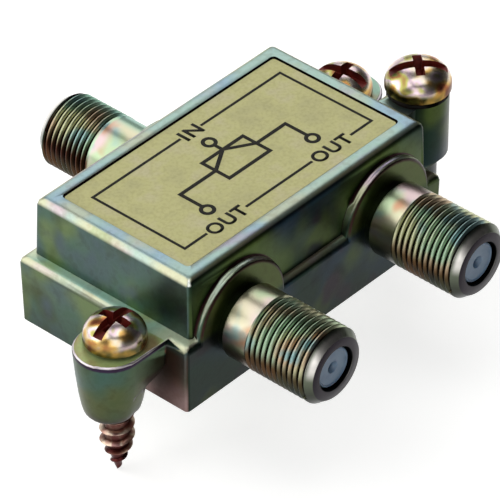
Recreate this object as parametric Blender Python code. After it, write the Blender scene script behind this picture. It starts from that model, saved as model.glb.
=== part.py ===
# Two-way RF power splitter: a hollow zinc die casting with one input port, two output ports,
# two screw ears and a ground post, closed from below and filled with its ferrite circuit.
# The frame: X along the label, -Y towards the output ports, Z up, origin on the base face.

import math

import bmesh
import bpy
from mathutils import Matrix, Vector

# Driving sizes, in millimetres

MM = 0.001
SEAT_GAP = 0.3          # between pieces that touch on the bench
FIT_GAP = 0.2           # around screws, wires and plates in their holes

BODY_LENGTH = 44.3      # lower half of the casting, at the shoulder
BODY_WIDTH = 26.2
BASE_DRAFT = 0.2        # drawn in on each side, down to the base
SHOULDER_HEIGHT = 9.2
END_LEDGE = 1.65        # from the lower half's edge to the upper half's foot
SIDE_LEDGE = 1.05
TOP_DRAFT = 0.22        # drawn in on each side, up to the top
TOP_HEIGHT = 17.2
CORNER_RADIUS = 0.5
SHOULDER_FILLET = 1.0
TOP_FILLET = 1.05
EDGE_BREAK = 0.3
BLOCK_LAP = 1.0         # the upper half's foot inside the lower half

WALL = 2.5
CEILING = 1.7
COVER_THICKNESS = 1.0
COVER_LEDGE = 1.2
CAVITY_CORNER = 1.2     # of the cavities and of the cover and its seat

TOP_BORDER = 2.05       # round the label's pocket
POCKET_DEPTH = 0.8
LABEL_THICKNESS = 0.4
LABEL_CORNER = 0.5

PORT_INSET = 9.5        # from the body's end to the axis of the output port there
PORT_AXIS_HEIGHT = 8.46
PORT_LENGTH = 13.85     # beyond the body's face
THREAD_RADIUS = 4.7625
NECK_RADIUS = 4.35
NECK_LENGTH = 0.9
SHANK_RADIUS = 4.7
SHANK_LENGTH = 4.6      # from the body's face to the thread
RIM_RADIUS = 3.65
RIM_CHAMFER = 1.35
ARCH_RADIUS = 7.25
ARCH_FILLET = 0.5
BORE_RADIUS = 2.75
BORE_DEPTH = 11.5
TAIL_BORE_RADIUS = 1.9
INSULATOR_RECESS = 0.4
INSULATOR_FACE = 1.2
PROBE_HOLE_RADIUS = 0.5
CONTACT_RADIUS = 0.85
CONTACT_BORE_RADIUS = 0.5
CONTACT_SLOT = 0.3
CONTACT_SLOT_LENGTH = 3.0

EAR_STANDOFF = 5.0      # from the body's end to the middle of the ear's round end
EAR_OFFSET = 5.8
EAR_RADIUS = 4.2
EAR_FOOT_RADIUS = 2.8
EAR_FLANGE = 2.6
EAR_SCREW_INSET = 1.05

POST_STANDOFF = 3.75    # from the body's end to the middle of the ground post
POST_OFFSET = 6.1
POST_RADIUS = 3.75
POST_HEIGHT = 15.95
POST_SHOULDER_HEIGHT = 7.4  # where it narrows, in a cone, to its leg
POST_CONE_HEIGHT = 1.6
POST_LEG_RADIUS = 2.45
POST_WEB_WIDTH = 4.4
POST_WEB_DROP = 0.4

SCREW_THREAD_RADIUS = 2.08
SCREW_ROOT_RADIUS = 1.4
SCREW_PITCH = 1.6
SCREW_LENGTH = 19.05    # under the head
SCREW_POINT = 4.2
SCREW_HEAD_RADIUS = 3.5
SCREW_HEAD_HEIGHT = 3.1
GROUND_HEAD_RADIUS = 4.0
GROUND_HEAD_HEIGHT = 3.35
GROUND_SCREW_LENGTH = 7.0
RECESS_SPAN = 4.3
RECESS_WIDTH = 1.1
RECESS_DEPTH = 1.7

BOARD_THICKNESS = 1.2
BOARD_HEIGHT = 3.4      # underside of the circuit board
BOARD_CLEARANCE = 0.6
BOARD_CORNER = 0.8
PEG_RADIUS = 0.7
BOARD_POST_RADIUS = 1.3
LEAD_RADIUS = 0.3
LEAD_STICK_OUT = 0.5    # below the board

RING_CORE_OUTER = 3.4
RING_CORE_INNER = 1.6
RING_CORE_HEIGHT = 2.6
RING_TURNS = 8
TWIN_CORE_LENGTH = 5.6
TWIN_CORE_RADIUS = 1.75
TWIN_HOLE_SPACING = 2.6
TWIN_HOLE_RADIUS = 0.85
TWIN_TURNS = 2
WIRE_RADIUS = 0.18
WINDING_LEAD = 1.2      # from the ring to where a lead turns down

# Places on the board, from its middle
RING_X = -4.6
RING_Y = 2.6
TWIN_X = -1.0
TWIN_Y = -4.6
RESISTOR_X = 9.6
RESISTOR_Y = -2.6
RESISTOR_LENGTH = 3.8
RESISTOR_RADIUS = 0.95
RESISTOR_SPAN = 6.8
INPUT_CAPACITOR_X = 4.4
BALANCE_CAPACITOR_X = 10.0
CAPACITOR_Y = 3.4
CAPACITOR_RADIUS = 2.0
CAPACITOR_THICKNESS = 1.3
CAPACITOR_SPREAD = 2.5

# Sizes that follow from the driving ones

PORT_SPACING = BODY_LENGTH - 2 * PORT_INSET
EAR_REACH = BODY_LENGTH / 2 + EAR_STANDOFF
POST_REACH = BODY_LENGTH / 2 + POST_STANDOFF
BASE_LENGTH = BODY_LENGTH - 2 * BASE_DRAFT
BASE_WIDTH = BODY_WIDTH - 2 * BASE_DRAFT
SHOULDER_LENGTH = BODY_LENGTH - 2 * END_LEDGE
SHOULDER_WIDTH = BODY_WIDTH - 2 * SIDE_LEDGE
TOP_LENGTH = SHOULDER_LENGTH - 2 * TOP_DRAFT
TOP_WIDTH = SHOULDER_WIDTH - 2 * TOP_DRAFT
POCKET_LENGTH = TOP_LENGTH - 2 * TOP_BORDER
POCKET_WIDTH = TOP_WIDTH - 2 * TOP_BORDER
TOP_FLOOR = TOP_HEIGHT - POCKET_DEPTH
CAVITY_TOP = TOP_FLOOR - CEILING
CAVITY_LENGTH = TOP_LENGTH - 2 * WALL
CAVITY_WIDTH = TOP_WIDTH - 2 * WALL
LOWER_CAVITY_LENGTH = BODY_LENGTH - 2 * WALL
LOWER_CAVITY_WIDTH = BODY_WIDTH - 2 * WALL
REBATE_DEPTH = COVER_THICKNESS + FIT_GAP
BOARD_TOP = BOARD_HEIGHT + BOARD_THICKNESS
PORT_FACE = BODY_WIDTH / 2
PORT_END = PORT_FACE + PORT_LENGTH
EAR_SCREW_REACH = EAR_REACH - EAR_SCREW_INSET
SCREW_HOLE_RADIUS = SCREW_THREAD_RADIUS + FIT_GAP

# Where the three ports stand: name, place along X, and the side they point to

PORTS = (
    ("input", 0.0, 1),
    ("left_output", -PORT_SPACING / 2, -1),
    ("right_output", PORT_SPACING / 2, -1),
)

ROUND = 30              # facets round a port
SMALL_ROUND = 20
SCREW_ROUND = 14
HOLE_ROUND = SMALL_ROUND // 2
FILLET_STEPS = 3


# Colours and finishes

def finish(name, colour, roughness, metallic):
    material = bpy.data.materials.new(name)
    material.use_nodes = True
    shader = material.node_tree.nodes["Principled BSDF"]
    shader.inputs["Base Color"].default_value = (*colour, 1.0)
    shader.inputs["Roughness"].default_value = roughness
    shader.inputs["Metallic"].default_value = metallic
    material.diffuse_color = (*colour, 1.0)
    return material


# Mesh building, in millimetres

def rounded_rectangle(length, width, radius, steps=4):
    points = []
    for turn, (side_x, side_y) in enumerate(((1, 1), (-1, 1), (-1, -1), (1, -1))):
        for step in range(steps + 1):
            angle = math.pi / 2 * (turn + step / steps)
            x = side_x * (length / 2 - radius) + radius * math.cos(angle)
            y = side_y * (width / 2 - radius) + radius * math.sin(angle)
            points.append((x, y))
    return points


# A closed skin over outlines that all have the same number of points, first to last
def loft(sections):
    bm = bmesh.new()
    rings = [[bm.verts.new(point) for point in section] for section in sections]
    for low, high in zip(rings, rings[1:]):
        for index in range(len(low)):
            after = (index + 1) % len(low)
            bm.faces.new((low[index], low[after], high[after], high[index]))
    bm.faces.new(rings[0])
    bm.faces.new(rings[-1])
    bmesh.ops.recalc_face_normals(bm, faces=bm.faces)
    return bm


# A turned form about Z from (radius, height) points; a closed profile gives a tube
def turned(profile, segments=SMALL_ROUND, closed=False):
    bm = bmesh.new()
    rings = []
    for radius, height in profile:
        if radius == 0:
            rings.append([bm.verts.new((0, 0, height))] * segments)
            continue
        ring = []
        for index in range(segments):
            angle = 2 * math.pi * index / segments
            ring.append(bm.verts.new((radius * math.cos(angle), radius * math.sin(angle), height)))
        rings.append(ring)
    pairs = list(zip(rings, rings[1:]))
    if closed:
        pairs.append((rings[-1], rings[0]))
    for low, high in pairs:
        for index in range(segments):
            after = (index + 1) % segments
            corners = [low[index], low[after], high[after], high[index]]
            face = list(dict.fromkeys(corners))
            if len(face) > 2:
                bm.faces.new(face)
    bmesh.ops.recalc_face_normals(bm, faces=bm.faces)
    return bm


def prism(outline, low, high):
    return loft([[(x, y, low) for x, y in outline], [(x, y, high) for x, y in outline]])


def box(length, width, low, high):
    half_x = length / 2
    half_y = width / 2
    return prism([(half_x, half_y), (-half_x, half_y), (-half_x, -half_y), (half_x, -half_y)], low, high)


def add_object(name, bm, material=None, place=(0, 0, 0), turn=(0, 0, 0), group=None):
    mesh = bpy.data.meshes.new(name)
    bmesh.ops.scale(bm, vec=(MM, MM, MM), verts=bm.verts)
    bm.to_mesh(mesh)
    bm.free()
    if material is not None:
        mesh.materials.append(material)
    mesh.shade_smooth()
    mesh.set_sharp_from_angle(angle=math.radians(35))
    item = bpy.data.objects.new(name, mesh)
    item.location = Vector(place) * MM
    item.rotation_euler = turn
    (group or bpy.context.scene.collection).objects.link(item)
    if group is not None:
        item.hide_render = True
        item.display_type = "WIRE"
    return item


def new_group(name):
    group = bpy.data.collections.new(name)
    bpy.context.scene.collection.children.link(group)
    return group


def combine(item, group, operation):
    modifier = item.modifiers.new(group.name, "BOOLEAN")
    modifier.operation = operation
    modifier.operand_type = "COLLECTION"
    modifier.collection = group
    modifier.solver = "EXACT"


# A round wire along a list of points, with a radius at each point
def wire(name, route, radii, material, sides=2):
    curve = bpy.data.curves.new(name, "CURVE")
    curve.dimensions = "3D"
    curve.bevel_depth = MM
    curve.bevel_resolution = sides
    curve.use_fill_caps = True
    spline = curve.splines.new("POLY")
    spline.points.add(len(route) - 1)
    for point, place, radius in zip(spline.points, route, radii):
        point.co = (*(Vector(place) * MM), 1.0)
        point.radius = radius
    curve.materials.append(material)
    item = bpy.data.objects.new(name, curve)
    bpy.context.scene.collection.objects.link(item)
    return item


# A port, contact or insulator is turned about Z and then laid along Y
def port_turn(side):
    return (-side * math.pi / 2, 0, 0)


# Insets and drops from the top of a rounded edge, lowest first
def fillet_steps(radius):
    angles = [math.pi / 2 * step / FILLET_STEPS for step in range(FILLET_STEPS + 1)]
    return [(radius * (1 - math.cos(angle)), radius * (1 - math.sin(angle))) for angle in angles]


# The casting: lower block, upper block, arches, ports, ears and ground post

def block(length_low, width_low, length_high, width_high, low, high, fillet):
    sections = []
    levels = [(low, 0.0, 0.0)]
    for inset, drop in fillet_steps(fillet):
        share = (high - drop - low) / (high - low)
        levels.append((high - drop, share, inset))
    for height, share, inset in levels:
        length = length_low + (length_high - length_low) * share - 2 * inset
        width = width_low + (width_high - width_low) * share - 2 * inset
        outline = rounded_rectangle(length, width, CORNER_RADIUS)
        sections.append([(x, y, height) for x, y in outline])
    return loft(sections)


def arch(x, side):
    steps = 18
    back = SHOULDER_WIDTH / 2 - WALL / 2
    foot = SHOULDER_HEIGHT - 2 * SHOULDER_FILLET
    sections = []
    fronts = [(PORT_FACE - drop, inset) for inset, drop in fillet_steps(ARCH_FILLET)]
    for distance, inset in [(back, 0.0)] + fronts:
        radius = ARCH_RADIUS - inset
        outline = [(x - radius, side * distance, foot)]
        for step in range(steps + 1):
            angle = math.pi * (1 - step / steps)
            outline.append((x + radius * math.cos(angle), side * distance,
                            PORT_AXIS_HEIGHT + radius * math.sin(angle)))
        outline.append((x + radius, side * distance, foot))
        sections.append(outline)
    return loft(sections)


def port_barrel():
    thread_start = PORT_FACE + SHANK_LENGTH
    neck_end = PORT_FACE + NECK_LENGTH
    return turned([
        (0, PORT_FACE - WALL / 2),
        (NECK_RADIUS, PORT_FACE - WALL / 2),
        (NECK_RADIUS, neck_end),
        (SHANK_RADIUS, neck_end + (SHANK_RADIUS - NECK_RADIUS) / 2),
        (SHANK_RADIUS, thread_start),
        (THREAD_RADIUS, thread_start + EDGE_BREAK),
        (THREAD_RADIUS, PORT_END - RIM_CHAMFER),
        (RIM_RADIUS, PORT_END),
        (0, PORT_END),
    ], ROUND)


def ear_radius(height):
    share = max(height, 0.0) / SHOULDER_HEIGHT
    return EAR_FOOT_RADIUS + (EAR_RADIUS - EAR_FOOT_RADIUS) * math.sqrt(share)


# A bucket, round at its outer end and stretched towards the body to hold the screw's hole
def ear_outline(radius, height):
    steps = ROUND // 2
    slim = radius - FIT_GAP
    ends = ((0.0, radius, -math.pi / 2), (-EAR_SCREW_INSET, slim, math.pi / 2))
    outline = []
    for middle, reach, start in ends:
        for step in range(steps + 1):
            angle = start + math.pi * step / steps
            outline.append((middle + reach * math.cos(angle), reach * math.sin(angle), height))
    return outline


def ear_boss():
    shares = (0.0, 0.04, 0.13, 0.3, 0.6)
    heights = [SHOULDER_HEIGHT * share for share in shares] + [SHOULDER_HEIGHT - EDGE_BREAK]
    sections = [ear_outline(ear_radius(height), height) for height in heights]
    sections.append(ear_outline(EAR_RADIUS - EDGE_BREAK, SHOULDER_HEIGHT))
    return loft(sections)


# The ear's flange narrows downwards with the boss and draws back from the wall below
def ear_flange():
    span = EAR_REACH - BODY_LENGTH / 2 + WALL / 2
    underside = SHOULDER_HEIGHT - EAR_FLANGE
    low = underside - span / 2
    sections = []
    for share in (0.0, 0.35, 0.7, 1.0):
        height = low + (underside - low) * share
        reach = span * (0.1 + 0.9 * math.sin(math.pi / 2 * share))
        sections.append((height, reach))
    sections.append((SHOULDER_HEIGHT - EDGE_BREAK, span))
    outlines = []
    for height, reach in sections:
        half = ear_radius(height) - 0.02
        corners = ((0, -half), (-reach, -half), (-reach, half), (0, half))
        outlines.append([(x, y, height) for x, y in corners])
    half = EAR_RADIUS - EDGE_BREAK
    outlines.append([(0, -half, SHOULDER_HEIGHT), (-span, -half, SHOULDER_HEIGHT),
                     (-span, half, SHOULDER_HEIGHT), (0, half, SHOULDER_HEIGHT)])
    return loft(outlines)


def ground_post():
    return turned([
        (0, 0.0),
        (POST_LEG_RADIUS - EDGE_BREAK, 0.0),
        (POST_LEG_RADIUS, EDGE_BREAK),
        (POST_LEG_RADIUS, POST_SHOULDER_HEIGHT - POST_CONE_HEIGHT),
        (POST_RADIUS, POST_SHOULDER_HEIGHT),
        (POST_RADIUS, POST_HEIGHT - EDGE_BREAK),
        (POST_RADIUS - EDGE_BREAK, POST_HEIGHT),
        (0, POST_HEIGHT),
    ], ROUND)


def ground_post_web():
    wall = TOP_LENGTH / 2 - WALL / 2
    half = POST_WEB_WIDTH / 2
    top = POST_HEIGHT - POST_WEB_DROP
    foot = EDGE_BREAK
    side = [(wall, foot), (POST_REACH, foot), (POST_REACH, top), (wall, top)]
    return loft([[(x, -half, z) for x, z in side], [(x, half, z) for x, z in side]])


def board_posts():
    reach_x = CAVITY_LENGTH / 2 - BOARD_POST_RADIUS * 0.8
    reach_y = CAVITY_WIDTH / 2 - BOARD_POST_RADIUS * 0.8
    return [(sx * reach_x, sy * reach_y) for sx in (-1, 1) for sy in (-1, 1)]


def ear_places():
    return ((-1, math.pi), (1, 0.0))


def build_housing(material):
    forms = new_group("casting_forms")
    cuts = new_group("casting_cuts")
    pegs = new_group("casting_pegs")
    housing = add_object("housing", block(BASE_LENGTH, BASE_WIDTH, BODY_LENGTH, BODY_WIDTH,
                                          0.0, SHOULDER_HEIGHT, SHOULDER_FILLET), material)
    add_object("upper_block", block(SHOULDER_LENGTH, SHOULDER_WIDTH, TOP_LENGTH, TOP_WIDTH,
                                    SHOULDER_HEIGHT - BLOCK_LAP, TOP_HEIGHT, TOP_FILLET), group=forms)
    for name, x, side in PORTS:
        add_object(name + "_arch", arch(x, side), group=forms)
        add_object(name + "_barrel", port_barrel(), place=(x, 0, PORT_AXIS_HEIGHT),
                   turn=port_turn(side), group=forms)
    for side, turn in ear_places():
        place = (side * EAR_REACH, side * EAR_OFFSET, 0)
        add_object("ear_boss", ear_boss(), place=place, turn=(0, 0, turn), group=forms)
        add_object("ear_flange", ear_flange(), place=place, turn=(0, 0, turn), group=forms)
    add_object("ground_post", ground_post(), place=(POST_REACH, -POST_OFFSET, 0), group=forms)
    add_object("ground_post_web", ground_post_web(), place=(0, -POST_OFFSET, 0), group=forms)
    cut_housing(cuts)
    for x, y in board_posts():
        peg_tip = BOARD_HEIGHT - LEAD_STICK_OUT
        post_foot = BOARD_TOP + SEAT_GAP
        add_object("board_post", turned([
            (0, peg_tip), (PEG_RADIUS, peg_tip), (PEG_RADIUS, post_foot), (BOARD_POST_RADIUS, post_foot),
            (BOARD_POST_RADIUS, CAVITY_TOP + CEILING / 2), (0, CAVITY_TOP + CEILING / 2),
        ]), place=(x, y, 0), group=pegs)
    combine(housing, forms, "UNION")
    combine(housing, cuts, "DIFFERENCE")
    combine(housing, pegs, "UNION")


def cut_housing(cuts):
    pocket = rounded_rectangle(POCKET_LENGTH, POCKET_WIDTH, LABEL_CORNER)
    add_object("label_pocket", prism(pocket, TOP_FLOOR, TOP_HEIGHT + 1), group=cuts)
    lower = rounded_rectangle(LOWER_CAVITY_LENGTH, LOWER_CAVITY_WIDTH, CAVITY_CORNER)
    add_object("lower_cavity", prism(lower, -1, SHOULDER_HEIGHT - WALL / 2), group=cuts)
    upper = rounded_rectangle(CAVITY_LENGTH, CAVITY_WIDTH, CAVITY_CORNER)
    add_object("upper_cavity", prism(upper, REBATE_DEPTH, CAVITY_TOP), group=cuts)
    rebate = rounded_rectangle(LOWER_CAVITY_LENGTH + 2 * COVER_LEDGE,
                               LOWER_CAVITY_WIDTH + 2 * COVER_LEDGE, CAVITY_CORNER)
    add_object("cover_rebate", prism(rebate, -2, REBATE_DEPTH), group=cuts)
    for name, x, side in PORTS:
        step = PORT_END - BORE_DEPTH
        add_object(name + "_bore", turned([
            (0, CAVITY_WIDTH / 2 - WALL), (TAIL_BORE_RADIUS, CAVITY_WIDTH / 2 - WALL),
            (TAIL_BORE_RADIUS, step), (BORE_RADIUS, step),
            (BORE_RADIUS, PORT_END + 1), (0, PORT_END + 1),
        ], ROUND), place=(x, 0, PORT_AXIS_HEIGHT), turn=port_turn(side), group=cuts)
    for side, turn in ear_places():
        add_object("ear_hole", turned([
            (0, -1), (SCREW_HOLE_RADIUS, -1),
            (SCREW_HOLE_RADIUS, SHOULDER_HEIGHT + 1), (0, SHOULDER_HEIGHT + 1),
        ], ROUND), place=(side * EAR_SCREW_REACH, side * EAR_OFFSET, 0), group=cuts)
    hole_foot = POST_HEIGHT - GROUND_SCREW_LENGTH - 2 * SEAT_GAP
    add_object("post_hole", turned([
        (0, hole_foot), (SCREW_HOLE_RADIUS, hole_foot),
        (SCREW_HOLE_RADIUS, POST_HEIGHT + 1), (0, POST_HEIGHT + 1),
    ], ROUND), place=(POST_REACH, -POST_OFFSET, 0), group=cuts)


# Plates: the pressed base cover and the label

def build_base_cover(material):
    length = LOWER_CAVITY_LENGTH + 2 * COVER_LEDGE - 2 * FIT_GAP
    width = LOWER_CAVITY_WIDTH + 2 * COVER_LEDGE - 2 * FIT_GAP
    outline = rounded_rectangle(length, width, CAVITY_CORNER - FIT_GAP)
    add_object("base_cover", prism(outline, 0.0, COVER_THICKNESS), material)


def build_label_plate(material):
    outline = rounded_rectangle(POCKET_LENGTH - 2 * FIT_GAP, POCKET_WIDTH - 2 * FIT_GAP, 0.4)
    low = TOP_FLOOR + FIT_GAP
    add_object("label_plate", prism(outline, low, low + LABEL_THICKNESS), material)


# Each port: a stepped plastic insulator and, inside it, a slit brass contact

def build_insulator(name, x, side, material):
    front = PORT_END - INSULATOR_RECESS
    step = PORT_END - BORE_DEPTH + SEAT_GAP
    tail = CAVITY_WIDTH / 2
    outer = BORE_RADIUS - FIT_GAP
    tail_radius = TAIL_BORE_RADIUS - FIT_GAP
    inner = CONTACT_RADIUS + FIT_GAP
    add_object(name + "_insulator", turned([
        (inner, tail), (tail_radius, tail), (tail_radius, step), (outer, step),
        (outer, front - 0.25), (outer - 0.25, front), (PROBE_HOLE_RADIUS * 1.6, front),
        (PROBE_HOLE_RADIUS, front - INSULATOR_FACE / 2), (PROBE_HOLE_RADIUS, front - INSULATOR_FACE),
        (inner, front - INSULATOR_FACE),
    ], SMALL_ROUND, closed=True), material, (x, 0, PORT_AXIS_HEIGHT), port_turn(side))


def build_contact(name, x, side, material):
    tip = PORT_END - INSULATOR_RECESS - INSULATOR_FACE - SEAT_GAP
    tail = CAVITY_WIDTH / 2 - SEAT_GAP
    turn_down = tail - 4 * LEAD_RADIUS
    contact = add_object(name + "_contact", turned([
        (0, tail), (CONTACT_RADIUS, tail), (CONTACT_RADIUS, tip), (CONTACT_BORE_RADIUS, tip),
        (CONTACT_BORE_RADIUS, tip - 2 * CONTACT_SLOT_LENGTH), (0, tip - 2 * CONTACT_SLOT_LENGTH),
    ]), material, (x, 0, PORT_AXIS_HEIGHT), port_turn(side))
    slits = new_group(name + "_slits")
    leads = new_group(name + "_lead")
    for quarter in (0, 1):
        add_object(name + "_slit", box(4 * CONTACT_RADIUS, CONTACT_SLOT, tip - CONTACT_SLOT_LENGTH, tip + 1),
                   place=(x, 0, PORT_AXIS_HEIGHT),
                   turn=(-side * math.pi / 2, 0, 0) if quarter == 0 else
                   (-side * math.pi / 2, math.pi / 2, 0), group=slits)
    add_object(name + "_lead", contact_lead(tail, turn_down),
               place=(x, 0, 0), turn=(0, 0, 0 if side < 0 else math.pi), group=leads)
    combine(contact, slits, "DIFFERENCE")
    combine(contact, leads, "UNION")


# The contact's tail runs inwards and turns down through the board, in the plane X = 0, facing -Y
def contact_lead(tail, turn_down):
    bend = 2.5 * LEAD_RADIUS
    route = [(-tail - LEAD_RADIUS, PORT_AXIS_HEIGHT)]
    for step in range(5):
        angle = math.pi / 2 * step / 4
        route.append((-turn_down + bend * math.sin(angle), PORT_AXIS_HEIGHT - bend * (1 - math.cos(angle))))
    route.append((-turn_down + bend, BOARD_HEIGHT - LEAD_STICK_OUT))
    return round_tube([(0, y, z) for y, z in route], LEAD_RADIUS)


def round_tube(route, radius, sides=10):
    points = [Vector(point) for point in route]
    sections = []
    for index, point in enumerate(points):
        before = points[max(index - 1, 0)]
        after = points[min(index + 1, len(points) - 1)]
        along = (after - before).normalized()
        across = Vector((1, 0, 0))
        up = along.cross(across).normalized()
        ring = []
        for side in range(sides):
            angle = 2 * math.pi * side / sides
            ring.append(point + radius * (math.cos(angle) * across + math.sin(angle) * up))
        sections.append(ring)
    return loft(sections)


# Lead holes of the board, so that each wire passes through it with a gap

def contact_lead_places():
    inward = CAVITY_WIDTH / 2 - SEAT_GAP - 4 * LEAD_RADIUS - 2.5 * LEAD_RADIUS
    return [(x, side * inward) for name, x, side in PORTS]


def build_circuit_board(material, lead_places):
    length = LOWER_CAVITY_LENGTH - 2 * BOARD_CLEARANCE
    width = LOWER_CAVITY_WIDTH - 2 * BOARD_CLEARANCE
    board = add_object("circuit_board", prism(rounded_rectangle(length, width, BOARD_CORNER),
                                              BOARD_HEIGHT, BOARD_TOP), material)
    holes = new_group("board_holes")
    drills = [(x, y, PEG_RADIUS) for x, y in board_posts()]
    drills += [(x, y, LEAD_RADIUS) for x, y in lead_places]
    for x, y, radius in drills:
        add_object("board_hole", turned([
            (0, BOARD_HEIGHT - 1), (radius + FIT_GAP, BOARD_HEIGHT - 1),
            (radius + FIT_GAP, BOARD_TOP + 1), (0, BOARD_TOP + 1),
        ], HOLE_ROUND), place=(x, y, 0), group=holes)
    combine(board, holes, "DIFFERENCE")


# Ferrite cores and their enamelled windings

def ring_core_low():
    return BOARD_TOP + SEAT_GAP + 2 * WIRE_RADIUS + FIT_GAP


def build_ring_core(material):
    low = ring_core_low()
    edge = 0.3
    high = low + RING_CORE_HEIGHT
    add_object("matching_core", turned([
        (RING_CORE_INNER, low + edge), (RING_CORE_INNER + edge, low), (RING_CORE_OUTER - edge, low),
        (RING_CORE_OUTER, low + edge), (RING_CORE_OUTER, high - edge), (RING_CORE_OUTER - edge, high),
        (RING_CORE_INNER + edge, high), (RING_CORE_INNER, high - edge),
    ], SMALL_ROUND, closed=True), material, (RING_X, RING_Y, 0))


def ring_winding_route():
    middle = (RING_CORE_OUTER + RING_CORE_INNER) / 2
    centre_height = ring_core_low() + RING_CORE_HEIGHT / 2
    half_wide = (RING_CORE_OUTER - RING_CORE_INNER) / 2 + FIT_GAP + WIRE_RADIUS
    half_high = RING_CORE_HEIGHT / 2 + FIT_GAP + WIRE_RADIUS
    per_turn = 8
    route = []
    for step in range(RING_TURNS * per_turn + 1):
        share = step / (RING_TURNS * per_turn)
        around = math.radians(130) + math.radians(280) * share
        angle = 2 * math.pi * step / per_turn
        swell = (abs(math.cos(angle)) ** 4 + abs(math.sin(angle)) ** 4) ** -0.25
        radius = middle + half_wide * swell * math.cos(angle)
        height = centre_height + half_high * swell * math.sin(angle)
        route.append((RING_X + radius * math.cos(around),
                      RING_Y + radius * math.sin(around), height))
    return route


# A winding's end leaves it level and then turns down through the board
def lead_down(start, away, reach):
    end = (start[0] + away[0] * reach, start[1] + away[1] * reach)
    return [
        (start[0] + away[0] * reach * 0.5, start[1] + away[1] * reach * 0.5, start[2] - 0.05),
        (end[0] - away[0] * 0.15, end[1] - away[1] * 0.15, start[2] - 0.2),
        (end[0], end[1], start[2] - 0.6),
        (end[0], end[1], BOARD_HEIGHT - LEAD_STICK_OUT),
    ]


def outward(point, centre):
    direction = Vector((point[0] - centre[0], point[1] - centre[1]))
    return tuple(direction.normalized())


def build_ring_winding(material):
    route = ring_winding_route()
    head = lead_down(route[0], outward(route[0], (RING_X, RING_Y)), WINDING_LEAD)
    tail = lead_down(route[-1], outward(route[-1], (RING_X, RING_Y)), WINDING_LEAD)
    full = list(reversed(head)) + route + tail
    wire("matching_winding", full, [WIRE_RADIUS] * len(full), material, 1)
    return [head[-1][:2], tail[-1][:2]]


def twin_core_height():
    return BOARD_TOP + SEAT_GAP + TWIN_CORE_RADIUS


def build_twin_core(material):
    half = TWIN_HOLE_SPACING / 2
    outline = []
    for side, start in ((1, -math.pi / 2), (-1, math.pi / 2)):
        for step in range(13):
            angle = start + math.pi * step / 12
            outline.append((TWIN_Y + side * half + TWIN_CORE_RADIUS * math.cos(angle),
                            twin_core_height() + TWIN_CORE_RADIUS * math.sin(angle)))
    ends = (TWIN_X - TWIN_CORE_LENGTH / 2, TWIN_X + TWIN_CORE_LENGTH / 2)
    core = add_object("splitting_core", loft([[(x, y, z) for y, z in outline] for x in ends]), material)
    holes = new_group("splitting_core_holes")
    for side in (-1, 1):
        add_object("core_hole", turned([
            (0, ends[0] - 1), (TWIN_HOLE_RADIUS, ends[0] - 1),
            (TWIN_HOLE_RADIUS, ends[1] + 1), (0, ends[1] + 1),
        ], SMALL_ROUND), place=(0, TWIN_Y + side * half, twin_core_height()),
            turn=(0, math.pi / 2, 0), group=holes)
    combine(core, holes, "DIFFERENCE")


# The splitting winding is a flat coil that climbs one wire's width per turn, through both holes
def twin_winding_route():
    half = TWIN_HOLE_SPACING / 2
    reach = TWIN_CORE_LENGTH / 2 + FIT_GAP + WIRE_RADIUS
    pitch = 2 * WIRE_RADIUS + FIT_GAP / 2
    lap = [(reach * (2 * step / 4 - 1), -half) for step in range(5)]
    lap += [(reach + half * math.cos(math.pi / 6 * step - math.pi / 2),
             half * math.sin(math.pi / 6 * step - math.pi / 2)) for step in range(1, 6)]
    lap += [(reach * (1 - 2 * step / 4), half) for step in range(5)]
    lap += [(-reach - half * math.cos(math.pi / 6 * step - math.pi / 2),
             -half * math.sin(math.pi / 6 * step - math.pi / 2)) for step in range(1, 6)]
    route = []
    count = TWIN_TURNS * len(lap) + 10
    for step in range(count):
        x, y = lap[step % len(lap)]
        climb = pitch * (step / len(lap) - TWIN_TURNS / 2 - 0.25)
        route.append((TWIN_X + x, TWIN_Y + y, twin_core_height() + climb))
    return route


def build_twin_winding(material):
    route = twin_winding_route()
    head = lead_down(route[0], (-1, 0), 1.0)
    tail = lead_down(route[-1], (0.8, 0.6), 0.9)
    full = list(reversed(head)) + route + tail
    wire("splitting_winding", full, [WIRE_RADIUS] * len(full), material, 1)
    return [head[-1][:2], tail[-1][:2]]


# Small parts on the board

def build_resistor(material):
    x, y = RESISTOR_X, RESISTOR_Y
    half = RESISTOR_SPAN / 2
    body = RESISTOR_LENGTH / 2
    thick = RESISTOR_RADIUS
    level = BOARD_TOP + SEAT_GAP + thick
    foot = BOARD_HEIGHT - LEAD_STICK_OUT
    side = [(-half, foot), (-half, level - 0.4), (-half + 0.12, level - 0.12), (-half + 0.4, level),
            (-body, level), (-body + 0.1, level), (-body + 0.5, level), (-body + 0.9, level)]
    sizes = [LEAD_RADIUS] * 5 + [thick * 0.85, thick, thick * 0.86]
    route = [(x + a, y, z) for a, z in side] + [(x - a, y, z) for a, z in reversed(side)]
    wire("isolation_resistor", route, sizes + sizes[::-1], material)
    return [(x - half, y), (x + half, y)]


def build_capacitor(name, x, material):
    y = CAPACITOR_Y
    radius = CAPACITOR_RADIUS
    thick = CAPACITOR_THICKNESS
    spread = CAPACITOR_SPREAD / 2
    centre = BOARD_TOP + SEAT_GAP + radius
    foot = BOARD_HEIGHT - LEAD_STICK_OUT
    disc = turned([(0, -thick / 2), (radius - 0.5, -thick / 2), (radius - 0.12, -thick / 4),
                   (radius, 0), (radius - 0.12, thick / 4), (radius - 0.5, thick / 2), (0, thick / 2)])
    capacitor = add_object(name, disc, material, (x, y, centre), (math.pi / 2, 0, 0))
    leads = new_group(name + "_leads")
    for side in (-1, 1):
        add_object(name + "_lead", turned([
            (0, foot), (LEAD_RADIUS, foot), (LEAD_RADIUS, centre), (0, centre),
        ], 10), place=(x + side * spread, y, 0), group=leads)
    combine(capacitor, leads, "UNION")
    return [(x - spread, y), (x + spread, y)]


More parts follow.
